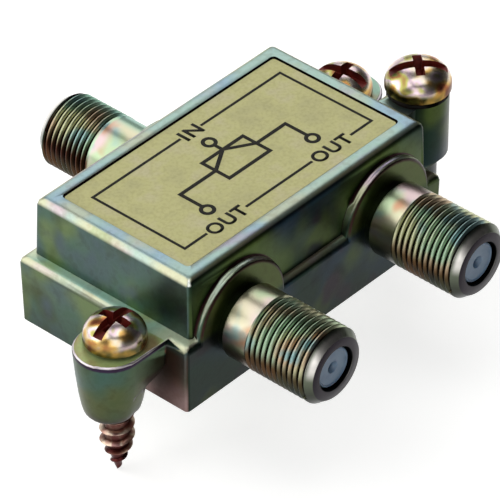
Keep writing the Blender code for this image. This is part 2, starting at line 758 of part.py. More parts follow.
# Screws: pan heads with a cross recess; the mounting screws have a real helical thread

def head_profile(radius, height):
    crown = []
    for step in range(6):
        angle = math.pi / 2 * step / 5
        crown.append((radius * math.cos(angle) ** 0.75 if step < 5 else 0.0,
                      height * (0.3 + 0.7 * math.sin(angle))))
    return [(radius - 0.15, 0.0), (radius, 0.15)] + crown


def threaded_skin(profile_head, length, point, pitch):
    segments = SCREW_ROUND
    per_turn = 4
    bm = bmesh.new()
    rings = []
    count = int(length / pitch * per_turn)
    for step in range(count):
        depth = length * (1 - step / count)
        ring = []
        for index in range(segments):
            turn = index / segments
            phase = (depth / pitch + turn) % 1.0
            ridge = max(0.0, 1 - abs(phase - 0.5) * 3.2)
            taper = min(1.0, (length - (length - step * length / count)) / point + 0.04)
            run_out = min(1.0, max(0.0, depth / pitch - 1.0))
            root = SCREW_ROOT_RADIUS * taper
            crest = SCREW_THREAD_RADIUS * min(1.0, taper * 1.15)
            radius = root + (crest - root) * ridge * run_out
            angle = 2 * math.pi * turn
            ring.append(bm.verts.new((radius * math.cos(angle), radius * math.sin(angle), -depth)))
        rings.append(ring)
    for radius, height in [(SCREW_ROOT_RADIUS, 0.0)] + profile_head[:-1]:
        rings.append([bm.verts.new((radius * math.cos(2 * math.pi * index / segments),
                                    radius * math.sin(2 * math.pi * index / segments), height))
                      for index in range(segments)])
    for low, high in zip(rings, rings[1:]):
        for index in range(segments):
            after = (index + 1) % segments
            bm.faces.new((low[index], low[after], high[after], high[index]))
    tip = bm.verts.new((0, 0, -length - 0.1))
    crown = bm.verts.new((0, 0, profile_head[-1][1]))
    for index in range(segments):
        after = (index + 1) % segments
        bm.faces.new((rings[0][index], tip, rings[0][after]))
        bm.faces.new((rings[-1][after], crown, rings[-1][index]))
    bmesh.ops.recalc_face_normals(bm, faces=bm.faces)
    return bm


def cut_cross(item, name, place, turn, head_height):
    recess = new_group(name + "_recess")
    for quarter in (0, 1):
        half = RECESS_SPAN / 2
        small = RECESS_SPAN / 4
        low = [(-small, -RECESS_WIDTH / 3), (small, -RECESS_WIDTH / 3),
               (small, RECESS_WIDTH / 3), (-small, RECESS_WIDTH / 3)]
        high = [(-half, -RECESS_WIDTH / 2), (half, -RECESS_WIDTH / 2),
                (half, RECESS_WIDTH / 2), (-half, RECESS_WIDTH / 2)]
        blade = loft([[(a, b, head_height - RECESS_DEPTH) for a, b in low],
                      [(a, b, head_height + 0.2) for a, b in high]])
        add_object(name + "_blade", blade, place=place,
                   turn=(0, 0, turn + quarter * math.pi / 2), group=recess)
    combine(item, recess, "DIFFERENCE")


def build_mounting_screw(name, side, turn, material):
    place = (side * EAR_SCREW_REACH, side * EAR_OFFSET, SHOULDER_HEIGHT + SEAT_GAP)
    head = head_profile(SCREW_HEAD_RADIUS, SCREW_HEAD_HEIGHT)
    screw = add_object(name, threaded_skin(head, SCREW_LENGTH, SCREW_POINT, SCREW_PITCH), material, place)
    cut_cross(screw, name, place, turn, SCREW_HEAD_HEIGHT)


def build_ground_screw(turn, material):
    place = (POST_REACH, -POST_OFFSET, POST_HEIGHT + SEAT_GAP)
    shank = SCREW_THREAD_RADIUS
    profile = [(0, -GROUND_SCREW_LENGTH), (shank - 0.4, -GROUND_SCREW_LENGTH),
               (shank, -GROUND_SCREW_LENGTH + 0.4), (shank, 0.0)]
    profile += head_profile(GROUND_HEAD_RADIUS, GROUND_HEAD_HEIGHT)
    screw = add_object("ground_screw", turned(profile, SMALL_ROUND), material, place)
    cut_cross(screw, "ground_screw", place, turn, GROUND_HEAD_HEIGHT)


def clear_scene():
    for item in list(bpy.data.objects):
        bpy.data.objects.remove(item, do_unlink=True)


def build_splitter():
    clear_scene()
    build_housing(finish("chromated_zinc", (0.16, 0.19, 0.15), 0.35, 0.9))
    build_base_cover(finish("cover_plate", (0.45, 0.43, 0.33), 0.4, 0.9))
    build_label_plate(finish("khaki_label", (0.50, 0.49, 0.24), 0.5, 0.0))
    for name, x, side in PORTS:
        build_insulator(name, x, side, finish(name + "_plastic", (0.13, 0.18, 0.24), 0.4, 0.0))
        build_contact(name, x, side, finish(name + "_brass", (0.75, 0.55, 0.25), 0.3, 1.0))
    leads = contact_lead_places()
    build_ring_core(finish("ring_ferrite", (0.06, 0.06, 0.06), 0.6, 0.0))
    leads += build_ring_winding(finish("red_enamel", (0.45, 0.09, 0.04), 0.3, 0.4))
    build_twin_core(finish("twin_ferrite", (0.05, 0.05, 0.06), 0.6, 0.0))
    leads += build_twin_winding(finish("green_enamel", (0.06, 0.25, 0.10), 0.3, 0.4))
    leads += build_resistor(finish("resistor_lacquer", (0.60, 0.45, 0.28), 0.4, 0.0))
    ochre = finish("ochre_ceramic", (0.55, 0.27, 0.06), 0.5, 0.0)
    brown = finish("brown_ceramic", (0.50, 0.24, 0.06), 0.5, 0.0)
    leads += build_capacitor("input_capacitor", INPUT_CAPACITOR_X, ochre)
    leads += build_capacitor("balance_capacitor", BALANCE_CAPACITOR_X, brown)
    build_circuit_board(finish("board_laminate", (0.36, 0.22, 0.08), 0.5, 0.0), leads)
    for name, side, turn in (("left", -1, 70), ("right", 1, 20)):
        gold = finish("gold_screw_" + name, (0.55, 0.42, 0.16), 0.25, 1.0)
        build_mounting_screw(name + "_mounting_screw", side, math.radians(turn), gold)
    build_ground_screw(math.radians(35), finish("gold_ground_screw", (0.58, 0.45, 0.18), 0.25, 1.0))


build_splitter()
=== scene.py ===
import math

import bmesh
import bpy
from mathutils import Matrix, Vector


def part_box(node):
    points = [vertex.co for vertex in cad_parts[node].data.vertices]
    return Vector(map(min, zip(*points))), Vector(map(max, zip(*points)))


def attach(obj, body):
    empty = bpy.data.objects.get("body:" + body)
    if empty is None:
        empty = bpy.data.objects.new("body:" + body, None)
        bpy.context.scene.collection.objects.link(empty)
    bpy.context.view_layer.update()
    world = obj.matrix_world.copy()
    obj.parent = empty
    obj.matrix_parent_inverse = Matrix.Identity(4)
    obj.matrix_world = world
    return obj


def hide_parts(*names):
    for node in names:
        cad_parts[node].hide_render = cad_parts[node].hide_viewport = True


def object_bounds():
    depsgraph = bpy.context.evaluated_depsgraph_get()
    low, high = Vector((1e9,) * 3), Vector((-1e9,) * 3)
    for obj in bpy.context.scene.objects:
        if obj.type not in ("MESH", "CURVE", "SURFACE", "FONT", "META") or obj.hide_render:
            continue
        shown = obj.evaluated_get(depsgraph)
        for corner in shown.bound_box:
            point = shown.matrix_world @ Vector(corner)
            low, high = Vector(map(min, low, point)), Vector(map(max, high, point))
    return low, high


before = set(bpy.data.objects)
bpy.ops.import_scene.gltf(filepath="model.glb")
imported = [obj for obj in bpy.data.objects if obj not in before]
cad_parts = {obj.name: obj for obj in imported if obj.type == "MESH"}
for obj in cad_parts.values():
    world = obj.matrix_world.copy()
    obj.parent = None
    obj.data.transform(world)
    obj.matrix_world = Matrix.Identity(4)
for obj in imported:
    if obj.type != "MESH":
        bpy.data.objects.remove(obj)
cadLow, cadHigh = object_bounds()
mm = 0.001
print("frame loaded")

# Colours and nodes


def linearColor(code):  # sRGB hex to the linear values that a socket takes
    parts = [int(code[i:i + 2], 16) / 255 for i in (1, 3, 5)]
    return [p / 12.92 if p <= 0.04045 else ((p + 0.055) / 1.055) ** 2.4 for p in parts] + [1.0]


def addNode(tree, kind, settings=None, links=None):  # a key of settings is an input's name or an attribute
    node = tree.nodes.new(kind)
    for key, value in (settings or {}).items():
        if isinstance(key, str) and hasattr(node, key):
            setattr(node, key, value)
        else:
            node.inputs[key].default_value = value
    for key, source in (links or {}).items():
        tree.links.new(source, node.inputs[key])
    return node


def newMaterial(name, settings):  # settings go on the shader's own sockets
    material = bpy.data.materials.new(name)
    material.use_nodes = True
    tree = material.node_tree
    shader = tree.nodes["Principled BSDF"]
    for key, value in settings.items():
        shader.inputs[key].default_value = value
    return material, tree, shader


def setRamp(ramp, stops, mode="LINEAR"):  # stops: place and hex colour, from low to high
    elements = ramp.color_ramp.elements
    ramp.color_ramp.interpolation = mode
    while len(elements) < len(stops):
        elements.new(1.0)
    for element, (place, code) in zip(elements, stops):
        element.position = place
        element.color = linearColor(code)


def objectPoints(tree, scale=(1, 1, 1), centre=(0, 0, 0)):  # Object coordinates, centred on a piece
    point = addNode(tree, "ShaderNodeTexCoord")
    shift = [-factor * middle for factor, middle in zip(scale, centre)]
    place = addNode(tree, "ShaderNodeMapping", {"Scale": scale, "Location": shift},
                    {"Vector": point.outputs["Object"]})
    return place.outputs["Vector"]


# Modelling


def deselectAll():
    if bpy.context.mode != "OBJECT":
        bpy.ops.object.mode_set(mode="OBJECT")
    bpy.ops.object.select_all(action="DESELECT")


def makeActive(piece):
    deselectAll()
    piece.select_set(True)
    bpy.context.view_layer.objects.active = piece


def pick(kind, test):  # in edit mode: selects the faces, edges or vertices that pass the test
    bpy.ops.mesh.select_all(action="DESELECT")
    bpy.ops.mesh.select_mode(type={"faces": "FACE", "edges": "EDGE", "verts": "VERT"}[kind])
    mesh = bmesh.from_edit_mesh(bpy.context.object.data)
    for item in getattr(mesh, kind):
        item.select_set(bool(test(item)))
    mesh.select_flush_mode()
    bmesh.update_edit_mesh(bpy.context.object.data)


def placeInMesh(piece, place=(0, 0, 0), turns=()):  # turns: degrees and axis, one after another
    matrix = Matrix.Translation(Vector(place))
    for degrees, axis in turns:
        matrix = matrix @ Matrix.Rotation(math.radians(degrees), 4, axis)
    piece.data.transform(matrix @ piece.matrix_world)
    piece.matrix_world = Matrix.Identity(4)
    if matrix.determinant() < 0:
        piece.data.flip_normals()
    return piece


def turnedPiece(name, sides, rings):  # rings: radius and height in mm, extruded one after another from a disc
    deselectAll()
    radius, height = rings[0]
    bpy.ops.mesh.primitive_circle_add(vertices=sides, radius=radius * mm, fill_type="NGON",
                                      location=(0, 0, height * mm))
    piece = bpy.context.object
    piece.name = name
    piece.data.name = name
    bpy.ops.object.mode_set(mode="EDIT")
    for nextRadius, nextHeight in rings[1:]:
        bpy.ops.mesh.extrude_region_move(
            TRANSFORM_OT_translate={"value": (0, 0, (nextHeight - height) * mm)})
        scale = nextRadius / radius
        bpy.ops.transform.resize(value=(scale, scale, 1), center_override=(0, 0, 0))
        radius, height = nextRadius, nextHeight
    bpy.ops.mesh.select_all(action="SELECT")
    bpy.ops.mesh.normals_make_consistent(inside=False)
    bpy.ops.object.mode_set(mode="OBJECT")
    return placeInMesh(piece)


def applyModifier(piece, kind, **settings):
    makeActive(piece)
    modifier = piece.modifiers.new(kind.lower(), kind)
    for key, value in settings.items():
        setattr(modifier, key, value)
    bpy.ops.object.modifier_apply(modifier=modifier.name)


def cutWith(piece, cutter, operation="DIFFERENCE"):
    applyModifier(piece, "BOOLEAN", object=cutter, operation=operation, solver="EXACT")
    bpy.data.objects.remove(cutter)


def trimPast(place, direction):  # in edit mode: cuts all off past a plane, place in mm, and closes the cut
    bpy.ops.mesh.select_all(action="SELECT")
    bpy.ops.mesh.bisect(plane_co=[value * mm for value in place], plane_no=direction, clear_outer=True,
                        use_fill=True, threshold=0.0005 * mm)


def smoothOver(piece, degrees):  # rounds stay smooth and flats stay flat
    makeActive(piece)
    bpy.ops.object.shade_smooth_by_angle(angle=math.radians(degrees))
    applyModifier(piece, "WEIGHTED_NORMAL", keep_sharp=True, weight=80)


def copyPiece(piece, name):
    twin = piece.copy()
    twin.data = piece.data.copy()
    twin.name = name
    twin.data.name = name
    bpy.context.scene.collection.objects.link(twin)
    return twin


def settle(piece, nodes, material):  # the finished piece rides on the part and stands for its nodes
    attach(piece, "root")
    if nodes:
        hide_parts(*nodes)
    piece.data.materials.clear()
    piece.data.materials.append(material)


# Stage: the photograph's camera, a pale floor, a room that is pale at the horizon, and soft lamps

stageLook = {
    "floorLevel": cadLow.z - 0.02 * mm,
    "floorSize": 4.0,
    "floorColor": "#D8D8D6",
    "floorGlow": 0.64,
    "target": (2.77 * mm, -0.31 * mm, 2.36 * mm),
    "cameraPlace": (-341.10 * mm, -306.85 * mm, 364.95 * mm),
    "lens": 361.1,
    "clip": (0.05, 20.0),
    "wallStrength": 1.0,            # of the room, up to the first height
    "ceilingStrength": 0.16,        # past the second
    "wallTop": (0.10, 0.45),        # the two heights, as the sine of the elevation
    "dimSide": (0.80, -0.60, 0.0),  # the way in which the room's wall is dark
    "dimSpan": (-0.35, 0.6),        # the dimming sets in and is full, as the cosine off that way
    "dimStrength": 0.12,
    "lampDistance": 0.62,
    "softboxes": {  # direction from the part, side in metres, brightness where white is 1
        "keySoftbox": ((-0.50, 0.50, 0.60), 0.72, 1.65),
        "skySoftbox": ((0.587, 0.523, 0.6185), 0.44, 1.45),
        "topSoftbox": ((-0.05, -0.12, 1.0), 0.36, 1.55),
        "frontSoftbox": ((-0.66, -0.58, 0.56), 0.42, 1.35),
    },
}


def buildFloor(look):
    deselectAll()
    bpy.ops.mesh.primitive_plane_add(size=look["floorSize"], location=(0, 0, look["floorLevel"]))
    floor = placeInMesh(bpy.context.object)
    floor.name = "floor"
    material, tree, shader = newMaterial("mattePaperSweep", {
        "Base Color": linearColor(look["floorColor"]), "Roughness": 0.9, "Emission Color": (1, 1, 1, 1)})
    path = addNode(tree, "ShaderNodeLightPath")
    seen = addNode(tree, "ShaderNodeMath", {"operation": "ADD", "use_clamp": True},
                   {0: path.outputs["Is Camera Ray"], 1: path.outputs["Is Glossy Ray"]})
    seen = addNode(tree, "ShaderNodeMath", {"operation": "ADD", "use_clamp": True},
                   {0: seen.outputs[0], 1: path.outputs["Is Transmission Ray"]})
    glow = addNode(tree, "ShaderNodeMath", {"operation": "MULTIPLY", 1: look["floorGlow"]},
                   {0: seen.outputs[0]})
    tree.links.new(glow.outputs[0], shader.inputs["Emission Strength"])
    floor.data.materials.append(material)


def buildRoom(look):
    world = bpy.data.worlds.new("studioRoom")
    bpy.context.scene.world = world
    world.use_nodes = True
    tree = world.node_tree
    sky = tree.nodes["Background"]
    direction = addNode(tree, "ShaderNodeTexCoord")
    height = addNode(tree, "ShaderNodeSeparateXYZ", links={"Vector": direction.outputs["Generated"]})
    low, high = look["wallTop"]
    fade = addNode(tree, "ShaderNodeMapRange", {
        "interpolation_type": "SMOOTHSTEP", "From Min": low, "From Max": high,
        "To Min": look["wallStrength"], "To Max": look["ceilingStrength"]}, {"Value": height.outputs["Z"]})
    away = addNode(tree, "ShaderNodeVectorMath", {"operation": "DOT_PRODUCT", 1: look["dimSide"]},
                   {0: direction.outputs["Generated"]})
    start, full = look["dimSpan"]
    dim = addNode(tree, "ShaderNodeMapRange", {
        "interpolation_type": "SMOOTHSTEP", "From Min": start, "From Max": full, "To Min": 1.0,
        "To Max": look["dimStrength"]}, {"Value": away.outputs["Value"]})
    light = addNode(tree, "ShaderNodeMath", {"operation": "MULTIPLY"},
                    {0: fade.outputs["Result"], 1: dim.outputs["Result"]})
    tree.links.new(light.outputs[0], sky.inputs["Strength"])
    sky.inputs["Color"].default_value = (1, 1, 1, 1)


def buildCamera(look):
    camera = bpy.data.objects.new("photoCamera", bpy.data.cameras.new("photoCamera"))
    bpy.context.scene.collection.objects.link(camera)
    camera.location = look["cameraPlace"]
    aim = Vector(look["target"]) - camera.location
    camera.rotation_euler = aim.to_track_quat("-Z", "Y").to_euler()
    camera.data.lens = look["lens"]
    camera.data.clip_start, camera.data.clip_end = look["clip"]
    bpy.context.scene.camera = camera
    bpy.context.scene.view_settings.view_transform = "Standard"


def buildLamps(look):
    for name, (direction, side, brightness) in look["softboxes"].items():
        lamp = bpy.data.lights.new(name, "AREA")
        lamp.size = side
        lamp.energy = brightness * math.pi * side ** 2
        holder = bpy.data.objects.new(name, lamp)
        holder.location = Vector(direction).normalized() * look["lampDistance"]
        holder.rotation_euler = (-holder.location).to_track_quat("-Z", "Y").to_euler()
        bpy.context.scene.collection.objects.link(holder)


buildFloor(stageLook)
buildRoom(stageLook)
buildCamera(stageLook)
buildLamps(stageLook)
print("stage set")

# Finishes: a pattern's scale counts its cells per metre, so 100 gives patches of 10 mm and 2000 of 0.5 mm


def layOver(tree, under, over, *rows, most=1.0):
    # one colour over another, in full where each row's value has gone from its first number to its second
    share = None
    for value, start, full in rows:
        step = addNode(tree, "ShaderNodeMapRange", {"interpolation_type": "SMOOTHSTEP", "From Min": start,
                                                    "From Max": full, "To Max": 1.0 if share else most},
                       {"Value": value}).outputs["Result"]
        if share:
            step = addNode(tree, "ShaderNodeMath", {"operation": "MULTIPLY"}, {0: share, 1: step}).outputs[0]
        share = step
    mix = addNode(tree, "ShaderNodeMix", {"data_type": "RGBA"}, {0: share})
    for place, color in ((6, under), (7, over)):
        if isinstance(color, str):
            mix.inputs[place].default_value = linearColor(color)
        else:
            tree.links.new(color, mix.inputs[place])
    return mix.outputs[2]


def driftColor(tree, point, base, layers):  # layers: pattern scale, where it sets in and is full, hex colour
    color = base
    for scale, start, full, code in layers:
        noise = addNode(tree, "ShaderNodeTexNoise", {"Scale": scale, "Detail": 1.5, "Roughness": 0.5},
                        {"Vector": point})
        color = layOver(tree, color, code, (noise.outputs["Fac"], start, full))
    return color


def mottle(tree, point, scale, stops, detail=3.0):  # an uneven colour that runs through the stops
    noise = addNode(tree, "ShaderNodeTexNoise", {"Scale": scale, "Detail": detail, "Roughness": 0.55},
                    {"Vector": point})
    ramp = addNode(tree, "ShaderNodeValToRGB", links={"Fac": noise.outputs["Fac"]})
    setRamp(ramp, stops)
    return ramp.outputs["Color"]


def speckle(tree, point, color, scale, stops, share):  # a fine pattern that only darkens what is under it
    fleck = mottle(tree, point, scale, stops)
    mix = addNode(tree, "ShaderNodeMix", {"data_type": "RGBA", "blend_type": "MULTIPLY", 0: share},
                  {6: color, 7: fleck})
    return mix.outputs[2]


def surfaceGrain(tree, shader, point, scale, strength, depth):  # depth in mm, coarser than real to show
    noise = addNode(tree, "ShaderNodeTexNoise", {"Scale": scale, "Detail": 3.0}, {"Vector": point})
    bump = addNode(tree, "ShaderNodeBump", {"Strength": strength, "Distance": depth * mm},
                   {"Height": noise.outputs["Fac"]})
    tree.links.new(bump.outputs["Normal"], shader.inputs["Normal"])


def axisDistance(tree, centre, axis):  # metres from a line through the centre
    scale = [0 if letter == axis else 1 for letter in "XYZ"]
    point = objectPoints(tree, scale, centre)
    return addNode(tree, "ShaderNodeVectorMath", {"operation": "LENGTH"}, {0: point}).outputs["Value"]


def surfaceFacing(tree):  # the X, Y and Z of the way the surface faces
    geometry = addNode(tree, "ShaderNodeNewGeometry")
    return addNode(tree, "ShaderNodeSeparateXYZ", links={"Vector": geometry.outputs["Normal"]}).outputs


def boxMiddle(node):
    low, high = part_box(node)
    return (low + high) / 2


def castChromate():
    # zinc alloy, die cast and dipped in yellow chromate: a thin clear film whose thickness gives the hue.
    # Its colours go by the way a face turns, as painted light over the film's own hues: pale on the upper
    # faces, a cream painted highlight on the rounds, olive on the sides, and painted shade, near black, on
    # the front and below.
    # Its hues drift over 5 to 11 mm, with the cast skin's speckle of 1.4 mm over them.
    material, tree, shader = newMaterial("yellowChromatedZincCasting", {"Metallic": 1.0, "Roughness": 0.36})
    point = objectPoints(tree)
    place = addNode(tree, "ShaderNodeSeparateXYZ", links={"Vector": point}).outputs
    facing = surfaceFacing(tree)
    off = addNode(tree, "ShaderNodeMath", {"operation": "ABSOLUTE"}, {0: place["X"]}).outputs[0]
    side = driftColor(tree, point, "#4B5C5C", [
        (95.0, 0.42, 0.60, "#4C6456"), (120.0, 0.50, 0.66, "#62724C"), (150.0, 0.54, 0.72, "#434D30"),
        (200.0, 0.54, 0.76, "#4A585E")])
    front = driftColor(tree, point, "#1A2A22", [
        (110.0, 0.42, 0.60, "#1C2B36"), (135.0, 0.48, 0.66, "#3A4722"), (170.0, 0.54, 0.70, "#101616"),
        (210.0, 0.56, 0.76, "#2A2029")])
    upper = driftColor(tree, point, "#9BB4AC", [
        (90.0, 0.44, 0.60, "#8FA8B6"), (115.0, 0.50, 0.66, "#A9B2A0"), (140.0, 0.52, 0.66, "#A098AC")])
    edge = driftColor(tree, point, "#BFC0A2", [
        (105.0, 0.44, 0.62, "#A9BCB1"), (150.0, 0.52, 0.68, "#C2B1B7"), (190.0, 0.54, 0.72, "#A8B48D")])
    boss = driftColor(tree, point, "#465640", [
        (100.0, 0.42, 0.58, "#3F5A56"), (150.0, 0.50, 0.68, "#4F5738")])
    bossTop = driftColor(tree, point, "#A9BE7E", [
        (140.0, 0.42, 0.58, "#9CC4B0"), (190.0, 0.50, 0.66, "#A08C62")])
    # the faces turned forward take the near-black front colours: painted shade, with the film's olive, blue
    # and purple in it
    ahead = (facing["Y"], -0.25, -0.85)
    color = layOver(tree, side, front, ahead)
    for node in ("left_output_insulator", "right_output_insulator"):  # rings of thicker film round the ports
        reach = axisDistance(tree, boxMiddle(node), "Y")
        above = (place["Z"], 8.7 * mm, 10.0 * mm)
        color = layOver(tree, color, "#46562A", ahead, above, (reach, 11.5 * mm, 7.5 * mm), most=0.75)
        color = layOver(tree, color, "#454E26", ahead, above, (reach, 7.3 * mm, 6.5 * mm), most=0.8)
        color = layOver(tree, color, "#332020", ahead, above, (reach, 6.6 * mm, 7.0 * mm),
                        (reach, 7.4 * mm, 7.3 * mm))
    color = layOver(tree, color, "#1E2620", (place["Z"], 8.5 * mm, -2.0 * mm), most=0.55)
    ears = [boxMiddle(node) for node in ("left_mounting_screw", "right_mounting_screw")]
    # between the left ear and the corner, under the ear: brown painted shade, and rose at the foot
    earShadeReach = axisDistance(tree, ears[0] + Vector((5.6, -4.4, 0)) * mm, "Z")
    leftward = (facing["X"], -0.3, -0.8)
    color = layOver(tree, color, "#4A2F24", (earShadeReach, 4.5 * mm, 1.5 * mm), (place["Z"], 9.0 * mm, 7.5 * mm),
                    leftward)
    color = layOver(tree, color, "#86706E", (earShadeReach, 6.0 * mm, 3.0 * mm), (place["Z"], 5.0 * mm, 0.5 * mm),
                    leftward)
    outside = (off, 22.2 * mm, 22.5 * mm)
    earReach = [axisDistance(tree, ear, "Z") for ear in ears]
    for reach in earReach:  # the ears, with a line of painted shade under their flange
        near = (reach, 7.5 * mm, 6.5 * mm)
        color = layOver(tree, color, boss, near, outside)
        color = layOver(tree, color, "#33283C", near, outside, (place["Z"], 8.45 * mm, 8.7 * mm))
    # a painted highlight in cream on what faces upward, and less so on what also faces forward
    forward = addNode(tree, "ShaderNodeMath", {"operation": "MINIMUM", 1: 0.0}, {0: facing["Y"]})
    highlightRise = addNode(tree, "ShaderNodeMath", {"operation": "MULTIPLY_ADD", 1: 0.72},
                   {0: forward.outputs[0], 2: facing["Z"]})
    color = layOver(tree, color, edge, (highlightRise.outputs[0], 0.10, 0.45))
    # what faces straight up takes pale colours, lightest on the ledges: painted light over the film's own
    # hues
    ledge = driftColor(tree, point, "#C6D2B4", [
        (120.0, 0.44, 0.60, "#9CC4B4"), (150.0, 0.50, 0.66, "#A8BC84"), (170.0, 0.52, 0.68, "#D6D0CC")])
    # the front ledge is brown but for its left end
    ledge = layOver(tree, ledge, "#4E4636", (place["Y"], -11.2 * mm, -11.6 * mm),
                    (place["X"], -18.5 * mm, -17.0 * mm), (place["Z"], 10.2 * mm, 9.7 * mm))
    upper = layOver(tree, upper, ledge, (place["Z"], 12.0 * mm, 10.0 * mm))
    color = layOver(tree, color, upper, (facing["Z"], 0.86, 0.98))
    for reach in earReach:  # green on the flange, with a painted highlight along its rounded edge
        near = (reach, 7.5 * mm, 6.5 * mm)
        color = layOver(tree, color, bossTop, near, outside, (facing["Z"], 0.86, 0.98))
        color = layOver(tree, color, "#E2DAE0", near, (off, 23.0 * mm, 25.0 * mm), (facing["Z"], 0.15, 0.45),
                        (facing["Z"], 0.995, 0.96))
    # a painted highlight, near white, on the front left corner of the top
    color = layOver(tree, color, "#F4F8F4", (facing["X"], -0.2, -0.38), (facing["Y"], -0.2, -0.38),
                    (facing["Z"], 0.3, 0.5), (place["Z"], 15.8 * mm, 16.4 * mm))
    # painted shade: dark brown on what faces downward
    color = layOver(tree, color, "#2A1E18", (facing["Z"], -0.05, -0.5))
    color = speckle(tree, point, color, 700.0, [(0.35, "#DDD4CC"), (0.5, "#FFFFFF"), (0.65, "#E9F0E2")], 0.5)
    tree.links.new(color, shader.inputs["Base Color"])
    # the film is duller on the ledges, which mirror less of the wall beside them
    metallic = layOver(tree, "#FFFFFF", "#B0B0B0", (facing["Z"], 0.86, 0.98),
                       (place["Z"], 12.0 * mm, 10.0 * mm))
    tree.links.new(metallic, shader.inputs["Metallic"])
    surfaceGrain(tree, shader, point, 2200.0, 0.2, 0.03)
    return material


def paintedShadeChromate():
    # painted shade in the label's pocket and below the ground screw: nearly black, maroon
    material, tree, shader = newMaterial("paintedShadeChromate", {"Metallic": 0.9, "Roughness": 0.42})
    color = driftColor(tree, objectPoints(tree), "#12110F", [(160.0, 0.45, 0.65, "#241614")])
    tree.links.new(color, shader.inputs["Base Color"])
    return material


def portChromate(name, middle, size, thread, lowerThreadShade, lowFacing, rightFilm):
    # the same casting where the die and the thread rolls left it smooth: cream and rose on the round,
    # with painted shade: nearly black in the thread's roots and inside the bore, dark below and low on the
    # thread
    material, tree, shader = newMaterial(name, {"Metallic": 1.0, "Roughness": 0.28})
    point = objectPoints(tree)
    place = addNode(tree, "ShaderNodeSeparateXYZ", links={"Vector": point}).outputs
    facing = surfaceFacing(tree)
    reach = axisDistance(tree, middle, "Y")
    along = addNode(tree, "ShaderNodeMath", {"operation": "ABSOLUTE"}, {0: place["Y"]}).outputs[0]
    ahead = addNode(tree, "ShaderNodeMath", {"operation": "ABSOLUTE"}, {0: facing["Y"]}).outputs[0]
    skin = driftColor(tree, point, "#C9C4A6", [
        (170.0, 0.42, 0.60, "#C9B4B4"), (200.0, 0.50, 0.66, "#A9BC98"), (240.0, 0.54, 0.70, "#B98F72"),
        (280.0, 0.56, 0.72, "#8FB0AC")])
    low = driftColor(tree, point, "#34382A", [
        (190.0, 0.44, 0.62, "#4C3826"), (240.0, 0.52, 0.70, "#202826")])
    crests = driftColor(tree, point, "#C8CAA2", [
        (170.0, 0.44, 0.60, "#A9C4A6"), (210.0, 0.52, 0.68, "#C4AE90"), (260.0, 0.54, 0.70, "#98B8B6")])
    start = size["threadEnd"] - thread
    rolled = (along, (start - 0.3) * mm, start * mm)
    skin = layOver(tree, skin, crests, rolled)
    if rightFilm:
        skin = layOver(tree, skin, rightFilm, (facing["X"], -0.05, 0.35), most=0.8)
    # painted shade on the thread's lower side
    skin = layOver(tree, skin, lowerThreadShade, rolled, (facing["Z"], lowFacing, lowFacing - 0.35))
    # painted shade: dark on what faces downward
    color = layOver(tree, low, skin, (facing["Z"], -0.35, 0.45))
    color = layOver(tree, "#6F8455", color,
                    (along, (size["neckEnd"] - 0.2) * mm, (size["neckEnd"] + 0.3) * mm))
    # painted shade: nearly black in the thread's roots
    root = size["threadRadius"] - size["threadDepth"]
    color = layOver(tree, "#151413", color, (reach, (root + 0.03) * mm, (size["threadRadius"] - 0.2) * mm))
    # the end's chamfer: a painted highlight on its upper left, painted shade on its underside
    chamfer = layOver(tree, "#5C6254", "#ECE8E2", (facing["Z"], 0.05, 0.4), (facing["X"], 0.35, -0.10),
                      (reach, (size["rimRadius"] + 0.75) * mm, (size["rimRadius"] + 0.35) * mm))
    chamfer = layOver(tree, "#2C2F28", chamfer, (facing["Z"], -0.45, 0.15))
    rim = layOver(tree, chamfer, "#2A262B", (ahead, 0.74, 0.9))
    # painted shade inside the bore
    rim = layOver(tree, "#141412", rim,
                  (reach, (size["boreRadius"] + 0.02) * mm, (size["boreRadius"] + 0.2) * mm))
    threadTop = size["end"] - size["chamfer"]
    color = layOver(tree, color, rim, (along, (threadTop - 0.12) * mm, (threadTop + 0.02) * mm))
    tree.links.new(color, shader.inputs["Base Color"])
    surfaceGrain(tree, shader, point, 1800.0, 0.2, 0.03)
    return material


def paintedLabel():
    # aluminium label, printed khaki: an even satin paint with a fine stipple from the screen
    material, tree, shader = newMaterial("khakiPrintedAluminium", {"Metallic": 0.1, "Roughness": 0.42})
    point = objectPoints(tree)
    patch = mottle(tree, point, 260.0, [(0.3, "#B3AF78"), (0.5, "#BDBA7C"), (0.7, "#BFB98B")])
    color = speckle(tree, point, patch, 2400.0, [(0.35, "#E9E6DC"), (0.55, "#FFFFFF")], 0.6)
    tree.links.new(color, shader.inputs["Base Color"])
    surfaceGrain(tree, shader, point, 3200.0, 0.2, 0.01)
    return material


def printingInk():
    # black screen ink: matt, a little thin at its edges
    material, tree, shader = newMaterial("blackScreenInk", {"Roughness": 0.6, "Specular IOR Level": 0.2})
    color = mottle(tree, objectPoints(tree), 1500.0, [(0.4, "#15140F"), (0.7, "#26241A")])
    tree.links.new(color, shader.inputs["Base Color"])
    return material


def mouldedInsulator():
    # natural polyethylene, injection moulded: waxy, blue-grey from the shadow behind it
    material, tree, shader = newMaterial("greyBluePolyethylene", {
        "Roughness": 0.42, "IOR": 1.51, "Subsurface Weight": 0.15, "Subsurface Scale": 0.5 * mm})
    color = mottle(tree, objectPoints(tree), 420.0, [(0.35, "#566E88"), (0.65, "#6F859B")])
    tree.links.new(color, shader.inputs["Base Color"])
    return material


